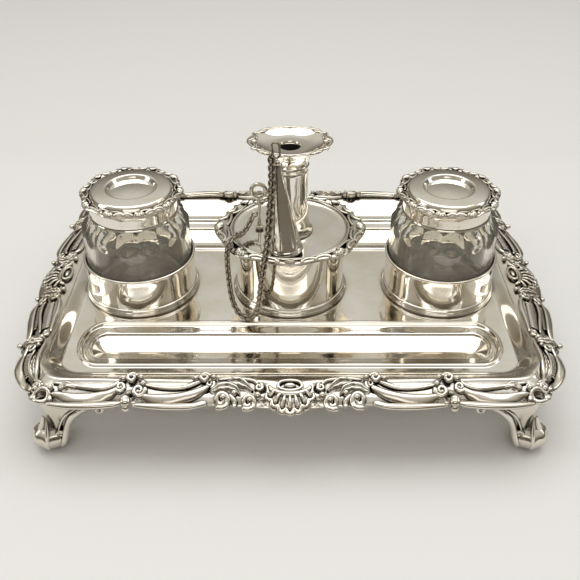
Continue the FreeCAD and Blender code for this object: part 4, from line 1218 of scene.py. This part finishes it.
def make_nozzle():
    """The loose nozzle, with a dished drip pan and its rolled and scrolled edge."""
    part = Part()
    around = 144
    angle = np.linspace(0, TAU, around, endpoint=False)
    edge = drip_edge(angle)
    # radius, how much of it follows the oblong edge, and height
    sections = [
        (5.75, 0, 104.2), (7.9, 0, 104.0), (8.2, 0, 104.4), (8.2, 0, 121.1), (10.4, 0, 121.2),
        (10.7, 0, 121.6), (10.7, 0, 123.4), (11.2, 0, 123.8), (11.2, 0, 124.6), (10.8, 0, 125.0),
        (11.3, 0, 127.5), (12.4, 0, 130.0), (14.2, 0, 132.6), (16.4, 0.15, 134.4), (19.0, 0.5, 135.9),
        (21.6, 0.93, 136.9), (DRIP_REACH, 1.0, 137.4), (DRIP_REACH, 1.0, 138.2), (21.6, 0.95, 138.3),
        (19.4, 0.75, 137.4), (16.8, 0.5, 136.4), (13.8, 0.25, 135.6), (10.6, 0, 135.2), (7.4, 0, 135.3),
        (6.3, 0, 135.2), (5.75, 0, 134.4), (5.7, 0, 128.0), (5.7, 0, 116.0),
    ]
    rings = []
    for radius, share, height in sections:
        reach = radius * (1 - share) + edge * (radius / DRIP_REACH) * share
        rings.append(level_ring(angle, reach, height))
    part.add(np.concatenate(rings), ring_faces(len(sections), around, closed=True))
    part.build("nozzle_turned", "nozzle", POLISHED, "polished_silver", ["nozzle"], smooth_angle=50)

    # a near-black lining and plug in the bore, a painted shadow of the deep hole
    liner = Part()
    lathe(liner, [(5.3, 104.4), (5.68, 104.4), (5.68, 133.6), (5.3, 133.6)], around=48)
    lathe(liner, [(0, 106.0), (5.3, 106.0), (5.3, 105.0), (0, 105.0)], around=48)
    liner.build("nozzle_liner", "nozzle", BORE_SHADE, "cast_silver")

    border = Part()
    torus(border, level_ring(angle, edge, 138.0), 0.75 + 0.15 * np.cos(8 * angle), 8)
    for side in (-1, 1):
        for front in (-1, 1):
            place, turn = np.array([side, front]), -side * front
            volute(border, place * (22.9, 0.8), place * (21.2, 9.4), turn, 138.2, 0.95, 1.0, (2.8, 3.2))
            volute(border, place * (20.6, 10.6), place * (13.4, 16.4), turn, 138.0, 0.85, 0.8, (3.2, 2.8))
            leaf(border, place * [(19.4, 2.0), (19.6, 6.0), (18.2, 9.2)], 2.6, (137.6, 137.6), 3, 0.8)
            ball(border, (*(place * (12.2, 17.0)), 138.2), 1.0)
            strap(border, place * [(11.0, 17.4), (5.6, 18.6), (1.6, 18.2)], 138.0, 0.62, 0.5)
        fan(border, (side * 18.6, 0), (side, 0), 4.6, 46, 5, 137.5, rise=0.8, ridge=0.3, drop=0.3)
    for front in (-1, 1):
        ball(border, (0, front * 18.4, 138.1), (1.3, 1.0, 0.8))
    border.build("nozzle_rim_cast", "nozzle", CAST, "cast_silver", ["nozzle_border"])


SNUFFER_FOOT = np.array([-2.0, -24.5, 80.7])
SNUFFER_LEAN = math.radians(5)


def leaning(points):
    """From the snuffer's own axes to where it stands."""
    c, s = math.cos(SNUFFER_LEAN), math.sin(SNUFFER_LEAN)
    x, y, z = points.T
    return np.column_stack([x * c - z * s, y, x * s + z * c]) + SNUFFER_FOOT


def make_snuffer():
    """The conical snuffer with a moulded mouth, and the wire loop at its tip."""
    cone = Part()
    profile = [
        (8.9, 0.1, 0.1), (9.5, 0.0, 0.3), (9.75, 0.5, 0.3), (9.5, 1.1, 0.2), (9.3, 1.3, 0.2), (9.6, 2.4, 0.3),
        (9.2, 2.9, 0.3), (8.9, 3.4, 0.5), (5.2, 29.0, 8.0), (1.7, 54.0, 2.0), (1.25, 55.2, 0.3),
        (1.9, 56.4, 0.5), (1.2, 57.8, 0.5), (0, 58.3),
    ]
    inner = [(0, 52.0), (1.0, 51.0, 1.0), (8.2, 3.4, 0.5), (9.0, 2.4, 0.3)]
    lathe(cone, dense(np.vstack([rounded(profile[::-1]), rounded(inner[::-1])]), 2.5), around=96)
    cone = cone.moved(leaning)
    cone.build("snuffer_cone_turned", "snuffer", POLISHED, "polished_silver", ["snuffer_cone"])
    loop = Part()
    line = upright_ring(0, 0, 1.95)
    line[:, 2] += 63.7 + np.sign(line[:, 2]) * 2.6
    torus(loop, line, 0.62, 8)
    loop = loop.moved(leaning)
    loop.build("snuffer_loop_wire", "snuffer", CHAIN_METAL, "chain_silver", ["snuffer_loop"])


# ---------------------------------------------------------------- chain

CHAIN_ROUTE = [
    (-23.0, -2.2, 88.6), (-25.6, -8.0, 84.8), (-29.2, -16.0, 85.0), (-33.2, -22.6, 88.4),
    (-36.8, -29.4, 84.4), (-36.4, -31.0, 66.0), (-35.0, -33.4, 50.0), (-30.6, -37.6, 41.9),
    (-24.4, -41.0, 41.7), (-19.2, -43.4, 48.0), (-17.2, -44.8, 62.0), (-15.6, -45.0, 78.0),
    (-13.6, -41.8, 88.4), (-12.2, -36.2, 97.6), (-11.2, -31.8, 110.0), (-10.1, -29.8, 124.0),
    (-9.8, -28.6, 136.0), (-10.2, -27.0, 143.0),
]
LINK_WIDE, LINK_HALF, LINK_WIRE, LINK_PITCH = 4.3, 2.05, 0.78, 2.2


def chain_path():
    """Points read from the route's NURBS spline, close together, in millimetres."""
    curve = bpy.data.curves.new("chain_route", "CURVE")
    curve.dimensions = "3D"
    curve.resolution_u = 24
    spline = curve.splines.new("NURBS")
    spline.points.add(len(CHAIN_ROUTE) - 1)
    for point, (x, y, z) in zip(spline.points, CHAIN_ROUTE):
        point.co = (x * MM, y * MM, z * MM, 1)
    spline.order_u = 3
    spline.use_endpoint_u = True
    holder = bpy.data.objects.new("chain_route", curve)
    mesh = bpy.data.meshes.new_from_object(holder)
    points = np.array([v.co for v in mesh.vertices], float) / MM
    bpy.data.objects.remove(holder)
    bpy.data.meshes.remove(mesh)
    return points


def make_chain():
    """The snuffer's chain: oval wire links, each turned against the one before."""
    path = chain_path()
    run = np.concatenate([[0], np.cumsum(np.linalg.norm(np.diff(path, axis=0), axis=1))])

    def at(distance):
        """The place that far along the path."""
        return np.array([np.interp(distance, run, path[:, axis]) for axis in range(3)]).T

    count = round(run[-1] / LINK_PITCH)
    where = (np.arange(count) + 0.5) * run[-1] / count
    part = Part()
    across = np.array([0.3, 1.0, 0.2])
    turn = np.linspace(0, TAU, 16, endpoint=False)
    for k in range(count):
        along = unit(at(where[k] + 1.0) - at(where[k] - 1.0))
        across = unit(across - along * np.dot(across, along))
        swing = 0.62 if k % 2 else -0.72
        flat_way = across * math.cos(swing) + np.cross(along, across) * math.sin(swing)
        oval = np.outer(LINK_HALF * np.cos(turn), along)
        oval += np.outer((LINK_WIDE / 2 - LINK_WIRE) * np.sin(turn), flat_way)
        torus(part, at(where[k]) + oval, LINK_WIRE, 7)
    chain = part.build("snuffer_chain_links", None, CHAIN_METAL, "chain_silver", ["snuffer_chain"])
    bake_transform(chain)


# ---------------------------------------------------------------- the whole inkstand

make_camera()
make_stage()
make_chain()
make_tray()
make_borders()
for foot_name, sign_x, sign_y in (("foot_front_left", -1, -1), ("foot_front_right", 1, -1),
                                  ("foot_rear_left", -1, 1), ("foot_rear_right", 1, 1)):
    make_foot(foot_name, sign_x, sign_y)
make_holders()
make_bottles()
make_taperstick()
make_nozzle()
make_snuffer()
